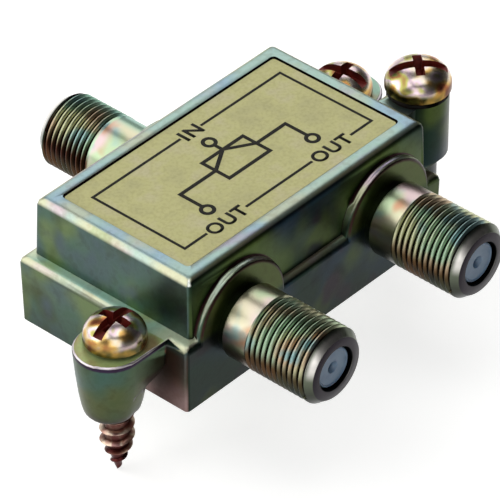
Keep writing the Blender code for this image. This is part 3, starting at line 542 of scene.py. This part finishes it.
def goldSteel():
    # cold headed steel, zinc plated and yellow passivated: gold, with rose, green and lilac in the film
    material, tree, shader = newMaterial("yellowPassivatedSteel", {"Metallic": 1.0, "Roughness": 0.24})
    point = objectPoints(tree)
    crown = mottle(tree, point, 330.0, [
        (0.28, "#5A2A24"), (0.36, "#B06A44"), (0.43, "#D9B36A"), (0.49, "#E4D7C2"), (0.55, "#D9C0CC"),
        (0.61, "#A9A860"), (0.68, "#8A5A3A"), (0.76, "#5B6A38")], 1.5)
    side = mottle(tree, point, 500.0, [(0.35, "#5E3524"), (0.5, "#9A7A3C"), (0.65, "#4C4A2C")], 1.5)
    facing = surfaceFacing(tree)
    # the head's side takes darker browns than its crown: painted shade, in the film's hues
    color = layOver(tree, side, crown, (facing["Z"], 0.05, 0.5))
    tree.links.new(color, shader.inputs["Base Color"])
    surfaceGrain(tree, shader, point, 1500.0, 0.15, 0.02)
    return material


def recessFilm():
    # in the driver recess the passivation pooled: deep translucent maroon, dull
    material, tree, shader = newMaterial("pooledPassivation", {"Metallic": 0.35, "Roughness": 0.5})
    color = mottle(tree, objectPoints(tree), 600.0, [(0.35, "#4A0F0B"), (0.5, "#6E1D14"), (0.7, "#5A2A12")])
    tree.links.new(color, shader.inputs["Base Color"])
    return material


def rolledThread(name, middle, size):
    # thread rolled before plating: pinkish brown, pale on the crests, and dark at the root as painted shade
    material, tree, shader = newMaterial(name, {"Metallic": 1.0, "Roughness": 0.3})
    film = mottle(tree, objectPoints(tree), 520.0, [
        (0.32, "#8A6458"), (0.46, "#B08A7C"), (0.56, "#D9C6B0"), (0.68, "#9A7470")], 2.0)
    reach = axisDistance(tree, middle, "Z")
    color = layOver(tree, "#4A2220", film,
                    (reach, size["rootRadius"] * 0.9 * mm, (size["crestRadius"] - 0.1) * mm))
    tree.links.new(color, shader.inputs["Base Color"])
    return material


def plainFinish(name, stops, scale, settings, grainScale=1500.0, grainDepth=0.01):
    material, tree, shader = newMaterial(name, settings)
    point = objectPoints(tree)
    tree.links.new(mottle(tree, point, scale, stops), shader.inputs["Base Color"])
    surfaceGrain(tree, shader, point, grainScale, 0.2, grainDepth)
    return material


def bandedLacquer(node):
    # dip lacquer on a carbon film resistor: glossy beige with brown, black, brown and gold rings
    low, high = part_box(node)
    along = "X" if high.x - low.x > high.y - low.y else "Y"
    length = max(high.x - low.x, high.y - low.y)
    material, tree, shader = newMaterial("beigeDippedLacquer", {"Roughness": 0.28, "IOR": 1.5})
    point = objectPoints(tree, centre=boxMiddle(node))
    place = addNode(tree, "ShaderNodeSeparateXYZ", links={"Vector": point}).outputs
    share = addNode(tree, "ShaderNodeMapRange", {"From Min": -length / 2, "From Max": length / 2},
                    {"Value": place[along]})
    ramp = addNode(tree, "ShaderNodeValToRGB", links={"Fac": share.outputs["Result"]})
    lacquer = "#C9B28A"
    setRamp(ramp, [(0.0, lacquer), (0.30, "#5B2F17"), (0.36, lacquer), (0.42, "#17120F"), (0.48, lacquer),
                   (0.54, "#5B2F17"), (0.60, lacquer), (0.68, "#A8823A"), (0.74, lacquer)], "CONSTANT")
    tree.links.new(ramp.outputs["Color"], shader.inputs["Base Color"])
    return material


chromate = castChromate()
paintedShadeFilm = paintedShadeChromate()
labelPaint = paintedLabel()
ink = printingInk()
polyethylene = mouldedInsulator()
goldHead = goldSteel()
deepRecess = recessFilm()
innerFinishes = {
    # rolled steel sheet, tinned: soft grey with faint cloudy crystals
    "base_cover": plainFinish("tinnedSteelSheet", [(0.35, "#A3A59F"), (0.5, "#B4B6AE"), (0.65, "#9DA2A3")],
                              220.0, {"Metallic": 1.0, "Roughness": 0.36}),
    # formed phosphor bronze spring, tinned
    "contact": plainFinish("tinnedBronzeSpring", [(0.4, "#C9B58A"), (0.6, "#D9CDB0")], 700.0,
                           {"Metallic": 1.0, "Roughness": 0.24}),
    # paper laminate in phenolic resin, punched: tan with short darker fibres
    "circuit_board": plainFinish("phenolicPaperLaminate",
                                 [(0.3, "#8C5E2E"), (0.5, "#A5743D"), (0.7, "#B98A50")],
                                 1300.0, {"Roughness": 0.48, "IOR": 1.57}, 2600.0, 0.02),
    # pressed and fired ferrite: charcoal, matt and slightly grainy
    "core": plainFinish("sinteredFerrite", [(0.35, "#2C2C2E"), (0.6, "#47474A")], 2400.0,
                        {"Roughness": 0.62}, 3000.0, 0.03),
    # copper wire under clear coloured enamel
    "matching_winding": plainFinish("redEnamelledCopper", [(0.35, "#7E1F16"), (0.65, "#A43524")], 600.0,
                                    {"Metallic": 0.35, "Roughness": 0.3, "Coat Weight": 0.8}),
    "splitting_winding": plainFinish("greenEnamelledCopper", [(0.35, "#2C5A33"), (0.65, "#42774A")], 600.0,
                                     {"Metallic": 0.35, "Roughness": 0.3, "Coat Weight": 0.8}),
    # ceramic disc dipped in ochre epoxy
    "capacitor": plainFinish("ochreDippedCeramic", [(0.35, "#B37A2E"), (0.65, "#C8923F")], 900.0,
                             {"Roughness": 0.38, "IOR": 1.52}),
    "isolation_resistor": bandedLacquer("isolation_resistor"),
}


def finishNodes(finishes):  # the carried-over CAD solids, each by its own name or by what it ends with
    for name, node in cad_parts.items():
        for key, material in finishes.items():
            if name == key or name.endswith("_" + key):
                for place in node.material_slots:
                    place.material = material


finishNodes(innerFinishes)
finishNodes({"label_plate": labelPaint})
print("finishes mixed")

# The casting: the frame's own body with its plain barrels cut away

castingSize = {
    "mergeReach": 0.008,    # points closer than this are one, and slivers thinner than the next go
    "sliverReach": 0.012,
    "flatAngle": 0.03,      # faces that turn less than this are one
    "barrelCut": 13.35,     # from the middle to where the barrels are cut off
    "smoothAngle": 40,
    "pocketMargin": 0.3,    # of the painted shade past the label, to the sides and down, then upward
    "pocketRise": 0.12,
    "postReach": 3.8,       # of the painted shade round the ground screw, and the height it starts at
    "postTop": 15.4,
}


def buildCasting(size):
    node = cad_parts["housing"]
    casting = copyPiece(node, "dieCastBody")
    for key in list(casting.keys()):    # the copy drops what marks a CAD node
        del casting[key]
    makeActive(casting)
    bpy.ops.object.mode_set(mode="EDIT")
    bpy.ops.mesh.select_all(action="SELECT")
    bpy.ops.mesh.remove_doubles(threshold=size["mergeReach"] * mm)
    bpy.ops.mesh.dissolve_degenerate(threshold=size["sliverReach"] * mm)
    for side in (-1, 1):
        trimPast((0, side * size["barrelCut"], 0), (0, side, 0))
    bpy.ops.mesh.select_all(action="SELECT")
    bpy.ops.mesh.dissolve_limited(angle_limit=math.radians(size["flatAngle"]))
    bpy.ops.object.mode_set(mode="OBJECT")
    smoothOver(casting, size["smoothAngle"])
    settle(casting, ["housing"], chromate)
    casting.data.materials.append(paintedShadeFilm)
    # faces in the label's pocket and round the ground screw's post take the painted shade
    low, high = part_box("label_plate")
    margin = size["pocketMargin"] * mm
    post = boxMiddle("ground_screw")
    for face in casting.data.polygons:
        x, y, z = face.center
        inPocket = (low.x - margin < x < high.x + margin and low.y - margin < y < high.y + margin
                    and low.z - margin < z < high.z + size["pocketRise"] * mm)
        onPost = math.hypot(x - post.x, y - post.y) < size["postReach"] * mm and z > size["postTop"] * mm
        if inPocket or onPost:
            face.material_index = 1
    print("casting", len(casting.data.polygons), "faces")


buildCasting(castingSize)

# The ports: turned barrels with a rolled 32-per-inch thread, one size for all three

portSize = {
    "start": 12.6,          # inside the casting's wall
    "end": 26.95,
    "neckRadius": 4.39,
    "neckEnd": 13.95,
    "shankRadius": 4.68,
    "threadRadius": 4.7625,
    "chamfer": 1.05,
    "rimRadius": 3.9,
    "boreRadius": 2.75,
    "boreDepth": 11.2,
    "tailRadius": 1.9,
    "pitch": 25.4 / 32,
    "threadDepth": 0.46,
    "threadEnd": 25.95,
    "outputThread": 8.4,    # length of the thread
    "inputThread": 7.1,
    "outputFilmsAndShade": ("#5A4228", 0.32, None),     # painted shade low on the thread, where that sets in, and a film colour to the right
    "inputFilmsAndShade": ("#5A3226", 0.55, "#86BCA8"),
    "sides": 72,
    "grooveSteps": 48,      # per turn
    "smoothAngle": 42,
}


def threadGroove(size, length):  # the cutter: one rounded V wound along the port's axis
    pitch = size["pitch"]
    crest = size["threadRadius"]
    deselectAll()
    bpy.ops.mesh.primitive_plane_add(size=1, location=(0, 0, 0))
    cutter = bpy.context.object
    cutter.name = "threadGroove"
    bpy.ops.object.mode_set(mode="EDIT")
    bpy.ops.mesh.delete(type="ONLY_FACE")
    bpy.ops.mesh.select_all(action="SELECT")
    bpy.ops.mesh.subdivide(number_cuts=1)
    root = crest - size["threadDepth"]
    # radius in mm, and place along the axis in pitches
    shape = [(crest + 0.4, -0.475), (crest + 0.005, -0.475), (crest - 0.05, -0.36), (root, -0.08),
             (root, 0.08), (crest - 0.05, 0.36), (crest + 0.005, 0.475), (crest + 0.4, 0.475)]
    bm = bmesh.from_edit_mesh(cutter.data)
    bm.verts.ensure_lookup_table()
    ring = [bm.verts[0]]
    while len(ring) < len(shape):
        ring.append(next(v for e in ring[-1].link_edges for v in [e.other_vert(ring[-1])] if v not in ring))
    for vert, (radius, along) in zip(ring, shape):
        vert.co = (radius * mm, 0, along * pitch * mm)
    bmesh.update_edit_mesh(cutter.data)
    bpy.ops.object.mode_set(mode="OBJECT")
    turns = length / pitch
    steps = int(size["grooveSteps"] * turns)
    applyModifier(cutter, "SCREW", axis="Z", angle=2 * math.pi * turns, screw_offset=length * mm,
                  steps=steps, render_steps=steps, use_merge_vertices=False, use_normal_calculate=False)
    bpy.ops.object.mode_set(mode="EDIT")
    pick("edges", lambda edge: edge.is_boundary)
    bpy.ops.mesh.fill()
    bpy.ops.mesh.select_all(action="SELECT")
    bpy.ops.mesh.normals_make_consistent(inside=False)
    bpy.ops.object.mode_set(mode="OBJECT")
    return placeInMesh(cutter, (0, 0, (size["threadEnd"] - length) * mm))


def buildBarrel(name, size, thread):
    neck, neckEnd = size["neckRadius"], size["neckEnd"]
    shank, major = size["shankRadius"], size["threadRadius"]
    rim, bore, tail = size["rimRadius"], size["boreRadius"], size["tailRadius"]
    start, end = size["threadEnd"] - thread, size["end"]
    shoulder, floor = end - size["chamfer"], end - size["boreDepth"]
    barrel = turnedPiece(name, size["sides"], [
        (neck, size["start"]), (neck, neckEnd - 0.05), (shank - 0.12, neckEnd), (shank, neckEnd + 0.12),
        (shank, start - 0.25), (major, start), (major, shoulder), (major - 0.1, shoulder + 0.08),
        (rim + 0.1, end - 0.08), (rim, end), (bore + 0.08, end), (bore, end - 0.1), (bore, floor),
        (tail, floor), (tail, size["start"] + 0.05)])
    cutWith(barrel, threadGroove(size, thread))
    return barrel


def buildPorts(size):
    for name, side, cadNode, thread, filmsAndShade in (
            ("inputPort", 1, "input_insulator", size["inputThread"], size["inputFilmsAndShade"]),
            ("leftOutputPort", -1, "left_output_insulator", size["outputThread"], size["outputFilmsAndShade"]),
            ("rightOutputPort", -1, "right_output_insulator", size["outputThread"], size["outputFilmsAndShade"])):
        middle = boxMiddle(cadNode)
        barrel = buildBarrel(name, size, thread)
        placeInMesh(barrel, (middle.x, 0, middle.z), [(-90 * side, "X")])
        smoothOver(barrel, size["smoothAngle"])
        settle(barrel, [], portChromate(name + "Chromate", middle, size, thread, *filmsAndShade))
        print(name, len(barrel.data.polygons), "faces")


buildPorts(portSize)

# The insulators: a dished moulded face round the hole where the cable's centre wire enters

insulatorSize = {
    "lipWidth": 0.22,
    "lipDrop": 0.12,
    "dish": 0.10,
    "funnelRadius": 0.80,
    "holeRadius": 0.42,
    "holeDepth": 1.2,
    "backShare": 0.62,      # of the radius, from the bore's step inward
    "sides": 64,
    "smoothAngle": 35,
}


def buildInsulators(size):
    for name, node, side in (("inputInsulator", "input_insulator", 1),
                             ("leftOutputInsulator", "left_output_insulator", -1),
                             ("rightOutputInsulator", "right_output_insulator", -1)):
        low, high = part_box(node)
        radius = (high.z - low.z) / 2 / mm
        front = max(abs(low.y), abs(high.y)) / mm
        back = min(abs(low.y), abs(high.y)) / mm
        stem, lip = radius * size["backShare"], size["lipWidth"]
        hole, funnel, dish = size["holeRadius"], size["funnelRadius"], front - size["dish"]
        plug = turnedPiece(name, size["sides"], [
            (stem, back), (stem, front - 11.0), (radius, front - 10.8), (radius, front - lip),
            (radius - 0.07, front - 0.06), (radius - lip, front),
            (radius - 1.6 * lip, front - size["lipDrop"]), (funnel + 0.35, dish), (funnel, dish - 0.03),
            (hole + 0.04, front - 0.55), (hole, front - 0.7), (hole, front - size["holeDepth"])])
        middle = boxMiddle(node)
        placeInMesh(plug, (middle.x, 0, middle.z), [(-90 * side, "X")])
        smoothOver(plug, size["smoothAngle"])
        settle(plug, [node], polyethylene)


buildInsulators(insulatorSize)
print("insulators in")

# The screws: pan heads with a slot across a cross recess, and rolled threads

headSize = {
    "sides": 64,
    "smoothAngle": 40,
    "edge": 0.18,
    "band": 0.22,           # share of the height below the crown
    "crownSteps": 11,
    "crownCurve": 0.8,
    "recessWidth": 1.25,    # of an arm, at the top
    "recessTaper": 0.62,    # of the arms' width and span, at the bottom
    "recessSpan": 4.7,
    "recessDepth": 1.9,
    "slotWidth": 1.3,
    "slotDepth": 1.15,
    "overcut": 0.6,         # of the cutters, above the head
    "filmStart": 0.3,       # of the recess's dark film: share of the height, and how far inside the crown
    "filmInset": 0.35,
    "proud": 0.2,           # of the mounting screws' heads past the CAD heads, to the side and upward
}

mountingScrewSize = {
    "rootRadius": 1.40,
    "crestRadius": 2.06,
    "pitch": 1.6,
    "steps": 36,            # per turn
    "length": 19.05,
    "seatGap": 0.1,         # between the CAD screw's tip and this one's
    "overlap": 0.3,         # of the shank in the head
    "point": 4.6,           # its length, and its end's share of the width
    "tip": 0.05,
}

groundScrewSize = dict(mountingScrewSize, rootRadius=1.75, pitch=0.79, length=7.0, seatGap=0, point=0)


def cutterBar(name, length, width, depth, top):  # a bar across the head's middle, from above it to a depth
    deselectAll()
    height = depth + headSize["overcut"]
    middle = top + headSize["overcut"] - height / 2
    bpy.ops.mesh.primitive_cube_add(size=1, location=(0, 0, middle * mm),
                                    scale=(length * mm, width * mm, height * mm))
    bar = bpy.context.object
    bar.name = name
    return placeInMesh(bar)


def slotCutter(size, radius, top, turn):
    slot = cutterBar("slotCutter", 2 * radius + 1, size["slotWidth"], size["slotDepth"], top)
    return placeInMesh(slot, turns=[(turn, "Z")])


def recessCutter(size, top, turn):
    arm = cutterBar("recessArm", size["recessSpan"], size["recessWidth"], size["recessDepth"], top)
    makeActive(arm)
    bpy.ops.object.mode_set(mode="EDIT")
    pick("faces", lambda face: face.normal.z < -0.9)
    taper = size["recessTaper"]
    bpy.ops.transform.resize(value=(taper, taper, 1), center_override=(0, 0, 0))
    bpy.ops.object.mode_set(mode="OBJECT")
    cross = copyPiece(arm, "recessArmAcross")
    placeInMesh(cross, turns=[(90, "Z")])
    cutWith(arm, cross, "UNION")
    return placeInMesh(arm, turns=[(turn, "Z")])


def screwHead(name, size, radius, height, turn):
    edge, band, steps = size["edge"], size["band"], size["crownSteps"]
    rings = [(radius - edge, 0), (radius, edge), (radius, height * band)]
    for step in range(1, steps):
        angle = math.pi / 2 * step / steps
        rings.append((radius * math.cos(angle) ** size["crownCurve"],
                      height * (band + (1 - band) * math.sin(angle))))
    rings.append((radius * 0.04, height))
    head = turnedPiece(name, size["sides"], rings)
    cutWith(head, recessCutter(size, height, turn))
    cutWith(head, slotCutter(size, radius, height, turn))
    return head


def screwShank(size):  # a thread wound by one pitch per turn, cut off flat and drawn to a point
    root, crest, pitch, length = size["rootRadius"], size["crestRadius"], size["pitch"], size["length"]
    # radius in mm, and place along the axis in pitches
    shape = [(root, 0), (root, 0.32), (crest - 0.03, 0.47), (crest, 0.5), (crest - 0.03, 0.53), (root, 0.68),
             (root, 1)]
    deselectAll()
    bpy.ops.mesh.primitive_plane_add(size=1)
    shank = bpy.context.object
    shank.name = "screwShank"
    mesh = bmesh.new()
    verts = [mesh.verts.new((radius * mm, 0, share * pitch * mm)) for radius, share in shape]
    for pair in zip(verts, verts[1:]):
        mesh.edges.new(pair)
    mesh.to_mesh(shank.data)
    mesh.free()
    turns = math.ceil(length / pitch) + 2
    applyModifier(shank, "SCREW", axis="Z", screw_offset=pitch * mm, iterations=turns, steps=size["steps"],
                  render_steps=size["steps"], use_merge_vertices=False)
    placeInMesh(shank, (0, 0, -(length + pitch) * mm))
    makeActive(shank)
    bpy.ops.object.mode_set(mode="EDIT")
    bpy.ops.mesh.select_all(action="SELECT")
    bpy.ops.mesh.remove_doubles(threshold=0.004 * mm)
    for level, side in ((size["overlap"], 1), (0.02 - length, -1)):
        trimPast((0, 0, level), (0, 0, side))
    bpy.ops.mesh.select_all(action="SELECT")
    bpy.ops.mesh.normals_make_consistent(inside=False)
    bpy.ops.object.mode_set(mode="OBJECT")
    if size["point"]:
        drawPoint(shank, size)
    return shank


def drawPoint(shank, size):
    for vert in shank.data.vertices:
        share = (vert.co.z / mm + size["length"]) / size["point"]
        if share < 1:
            slim = size["tip"] + (1 - size["tip"]) * max(share, 0.0) ** 0.8
            vert.co.x *= slim
            vert.co.y *= slim


def paintScrew(screw, size, middle, seat, headRadius, headTop):  # all in metres
    screw.data.materials.append(deepRecess)
    screw.data.materials.append(rolledThread(screw.name + "Thread", middle, mountingScrewSize))
    band = size["band"]
    for face in screw.data.polygons:
        outward = Vector((face.center.x - middle.x, face.center.y - middle.y))
        rising = (face.center.z - seat) / (headTop - seat)
        crown = headRadius * max(1 - ((rising - band) / (1 - band)) ** 2, 0) ** (size["crownCurve"] / 2)
        if face.center.z < seat - 0.05 * mm:
            face.material_index = 2
        elif rising > size["filmStart"] and outward.length < crown - size["filmInset"] * mm:
            face.material_index = 1


def buildScrew(name, node, size, turn, proud=0.0):
    low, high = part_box(node)
    middle = boxMiddle(node)
    radius = (high.x - low.x) / 2 / mm + proud
    seat = low.z / mm + size["length"] + size["seatGap"]
    screw = screwHead(name, headSize, radius, high.z / mm + proud - seat, turn)
    cutWith(screw, screwShank(size), "UNION")
    placeInMesh(screw, (middle.x, middle.y, seat * mm))
    smoothOver(screw, headSize["smoothAngle"])
    settle(screw, [node], goldHead)
    paintScrew(screw, headSize, middle, seat * mm, (high.x - low.x) / 2 + proud * mm, high.z + proud * mm)


buildScrew("leftMountingScrew", "left_mounting_screw", mountingScrewSize, 4, headSize["proud"])
buildScrew("rightMountingScrew", "right_mounting_screw", mountingScrewSize, -80, headSize["proud"])
buildScrew("groundScrew", "ground_screw", groundScrewSize, -42)
print("screws in")

# The print on the label: a fine frame line, the port words, and a plain drawing of a two-way split

printSize = {
    "frameLength": 32.15,
    "frameWidth": 14.15,
    "frameShift": 0.27,     # along X, off the label's middle
    "line": 0.36,
    "drawingLine": 0.50,
    "thickness": 0.02,
    "lift": 0.001,          # between one stroke and the next, so that no two tops share a plane
    "letterHeight": 2.0,
    "inputGap": (0.455, 0.574),     # shares of the frame's length, from -X
    "outputGaps": ((0.11, 0.326), (0.67, 0.89)),
    "gapMargin": 0.45,
    "boxLength": 7.0,
    "boxWidth": 4.2,
    "terminalRadius": 0.75,
    "terminalInset": 2.9,   # from the frame to a terminal's middle
    "ringSides": 40,
}


def printBar(start, end, width, level):  # a raised stroke between two points, in mm
    deselectAll()
    along = Vector(end) - Vector(start)
    middle = (Vector(end) + Vector(start)) / 2
    bpy.ops.mesh.primitive_plane_add(size=width * mm)
    stroke = bpy.context.object
    bpy.ops.object.mode_set(mode="EDIT")
    bpy.ops.transform.resize(value=(along.length / width + 1, 1, 1), center_override=(0, 0, 0))
    bpy.ops.object.mode_set(mode="OBJECT")
    turn = math.degrees(math.atan2(along.y, along.x))
    placeInMesh(stroke, (middle.x * mm, middle.y * mm, level * mm), [(turn, "Z")])
    return raisePrint(stroke)


def raisePrint(flat):
    makeActive(flat)
    bpy.ops.object.mode_set(mode="EDIT")
    bpy.ops.mesh.select_all(action="SELECT")
    bpy.ops.mesh.extrude_region_move(TRANSFORM_OT_translate={"value": (0, 0, printSize["thickness"] * mm)})
    bpy.ops.mesh.select_all(action="SELECT")
    bpy.ops.mesh.normals_make_consistent(inside=False)
    bpy.ops.object.mode_set(mode="OBJECT")
    return placeInMesh(flat)


def printRing(centre, radius, width, level):
    deselectAll()
    bpy.ops.mesh.primitive_circle_add(
        vertices=printSize["ringSides"], radius=(radius + width / 2) * mm, fill_type="NGON",
        location=(centre[0] * mm, centre[1] * mm, level * mm))
    ring = bpy.context.object
    bpy.ops.object.mode_set(mode="EDIT")
    bpy.ops.mesh.inset(thickness=width * mm)
    bpy.ops.mesh.delete(type="FACE")
    bpy.ops.object.mode_set(mode="OBJECT")
    return raisePrint(ring)


def printWord(text, centre, width, height, level):  # fitted to its gap
    deselectAll()
    bpy.ops.object.text_add()
    word = bpy.context.object
    word.data.body = text
    word.data.space_character = 1.12
    word.data.offset = 0.028    # heavier strokes
    word.data.resolution_u = 6
    bpy.ops.object.convert(target="MESH")
    word = bpy.context.object
    makeActive(word)
    bpy.ops.object.mode_set(mode="EDIT")
    bpy.ops.mesh.select_all(action="SELECT")
    bpy.ops.mesh.remove_doubles(threshold=0.0001)
    bpy.ops.object.mode_set(mode="OBJECT")
    across = [vert.co.x for vert in word.data.vertices]
    upward = [vert.co.y for vert in word.data.vertices]
    for vert in word.data.vertices:
        acrossShare = (vert.co.x - min(across)) / (max(across) - min(across))
        upwardShare = (vert.co.y - min(upward)) / (max(upward) - min(upward))
        vert.co.x = centre[0] * mm + (acrossShare - 0.5) * width * mm
        vert.co.y = centre[1] * mm + (upwardShare - 0.5) * height * mm
        vert.co.z = level * mm
    return raisePrint(word)


def buildPrint(size):
    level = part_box("label_plate")[1].z / mm
    left = size["frameShift"] - size["frameLength"] / 2
    right = size["frameShift"] + size["frameLength"] / 2
    back, front = size["frameWidth"] / 2, -size["frameWidth"] / 2
    line, bold, lift = size["line"], size["drawingLine"], size["lift"]
    along = [left + share * size["frameLength"]
             for gap in (size["inputGap"], *size["outputGaps"]) for share in gap]
    inputMiddle = (along[0] + along[1]) / 2
    outputMiddles = [(along[2] + along[3]) / 2, (along[4] + along[5]) / 2]
    marks = [printBar(start, end, line, level + lift * step) for step, (start, end) in enumerate((
        ((left, back), (along[0], back)), ((along[1], back), (right, back)), ((right, back), (right, front)),
        ((right, front), (along[5], front)), ((along[4], front), (along[3], front)),
        ((along[2], front), (left, front)), ((left, front), (left, back))))]
    for text, middle, gap, side in (("IN", inputMiddle, along[1] - along[0], back),
                                    ("OUT", outputMiddles[0], along[3] - along[2], front),
                                    ("OUT", outputMiddles[1], along[5] - along[4], front)):
        width = gap - 2 * size["gapMargin"]
        marks.append(printWord(text, (middle, side), width, size["letterHeight"], level))
    radius = size["terminalRadius"]
    boxLeft, boxRight = inputMiddle - size["boxLength"] / 2, inputMiddle + size["boxLength"] / 2
    boxBack, boxFront = size["boxWidth"] / 2, -size["boxWidth"] / 2
    reach = back - size["terminalInset"]
    strokes = [((boxLeft, boxBack), (boxRight, boxBack)), ((boxRight, boxBack), (boxRight, boxFront)),
               ((boxRight, boxFront), (boxLeft, boxFront)), ((boxLeft, boxFront), (boxLeft, boxBack)),
               ((inputMiddle, reach - radius), (inputMiddle, boxBack)),
               ((inputMiddle, boxBack), (boxLeft, 0)), ((inputMiddle, boxBack), (boxRight, 0))]
    for middle, edge in zip(outputMiddles, (boxLeft, boxRight)):
        strokes += [((edge, 0), (middle, 0)), ((middle, 0), (middle, radius - reach))]
    marks += [printBar(start, end, bold, level + lift * step) for step, (start, end) in enumerate(strokes)]
    marks += [printRing(centre, radius, bold, level - lift)
              for centre in ((inputMiddle, reach), (outputMiddles[0], -reach), (outputMiddles[1], -reach))]
    deselectAll()
    for mark in marks:
        mark.select_set(True)
    bpy.context.view_layer.objects.active = marks[0]
    bpy.ops.object.join()
    marks[0].name = "labelPrint"
    settle(marks[0], [], ink)


buildPrint(printSize)
print("label printed")
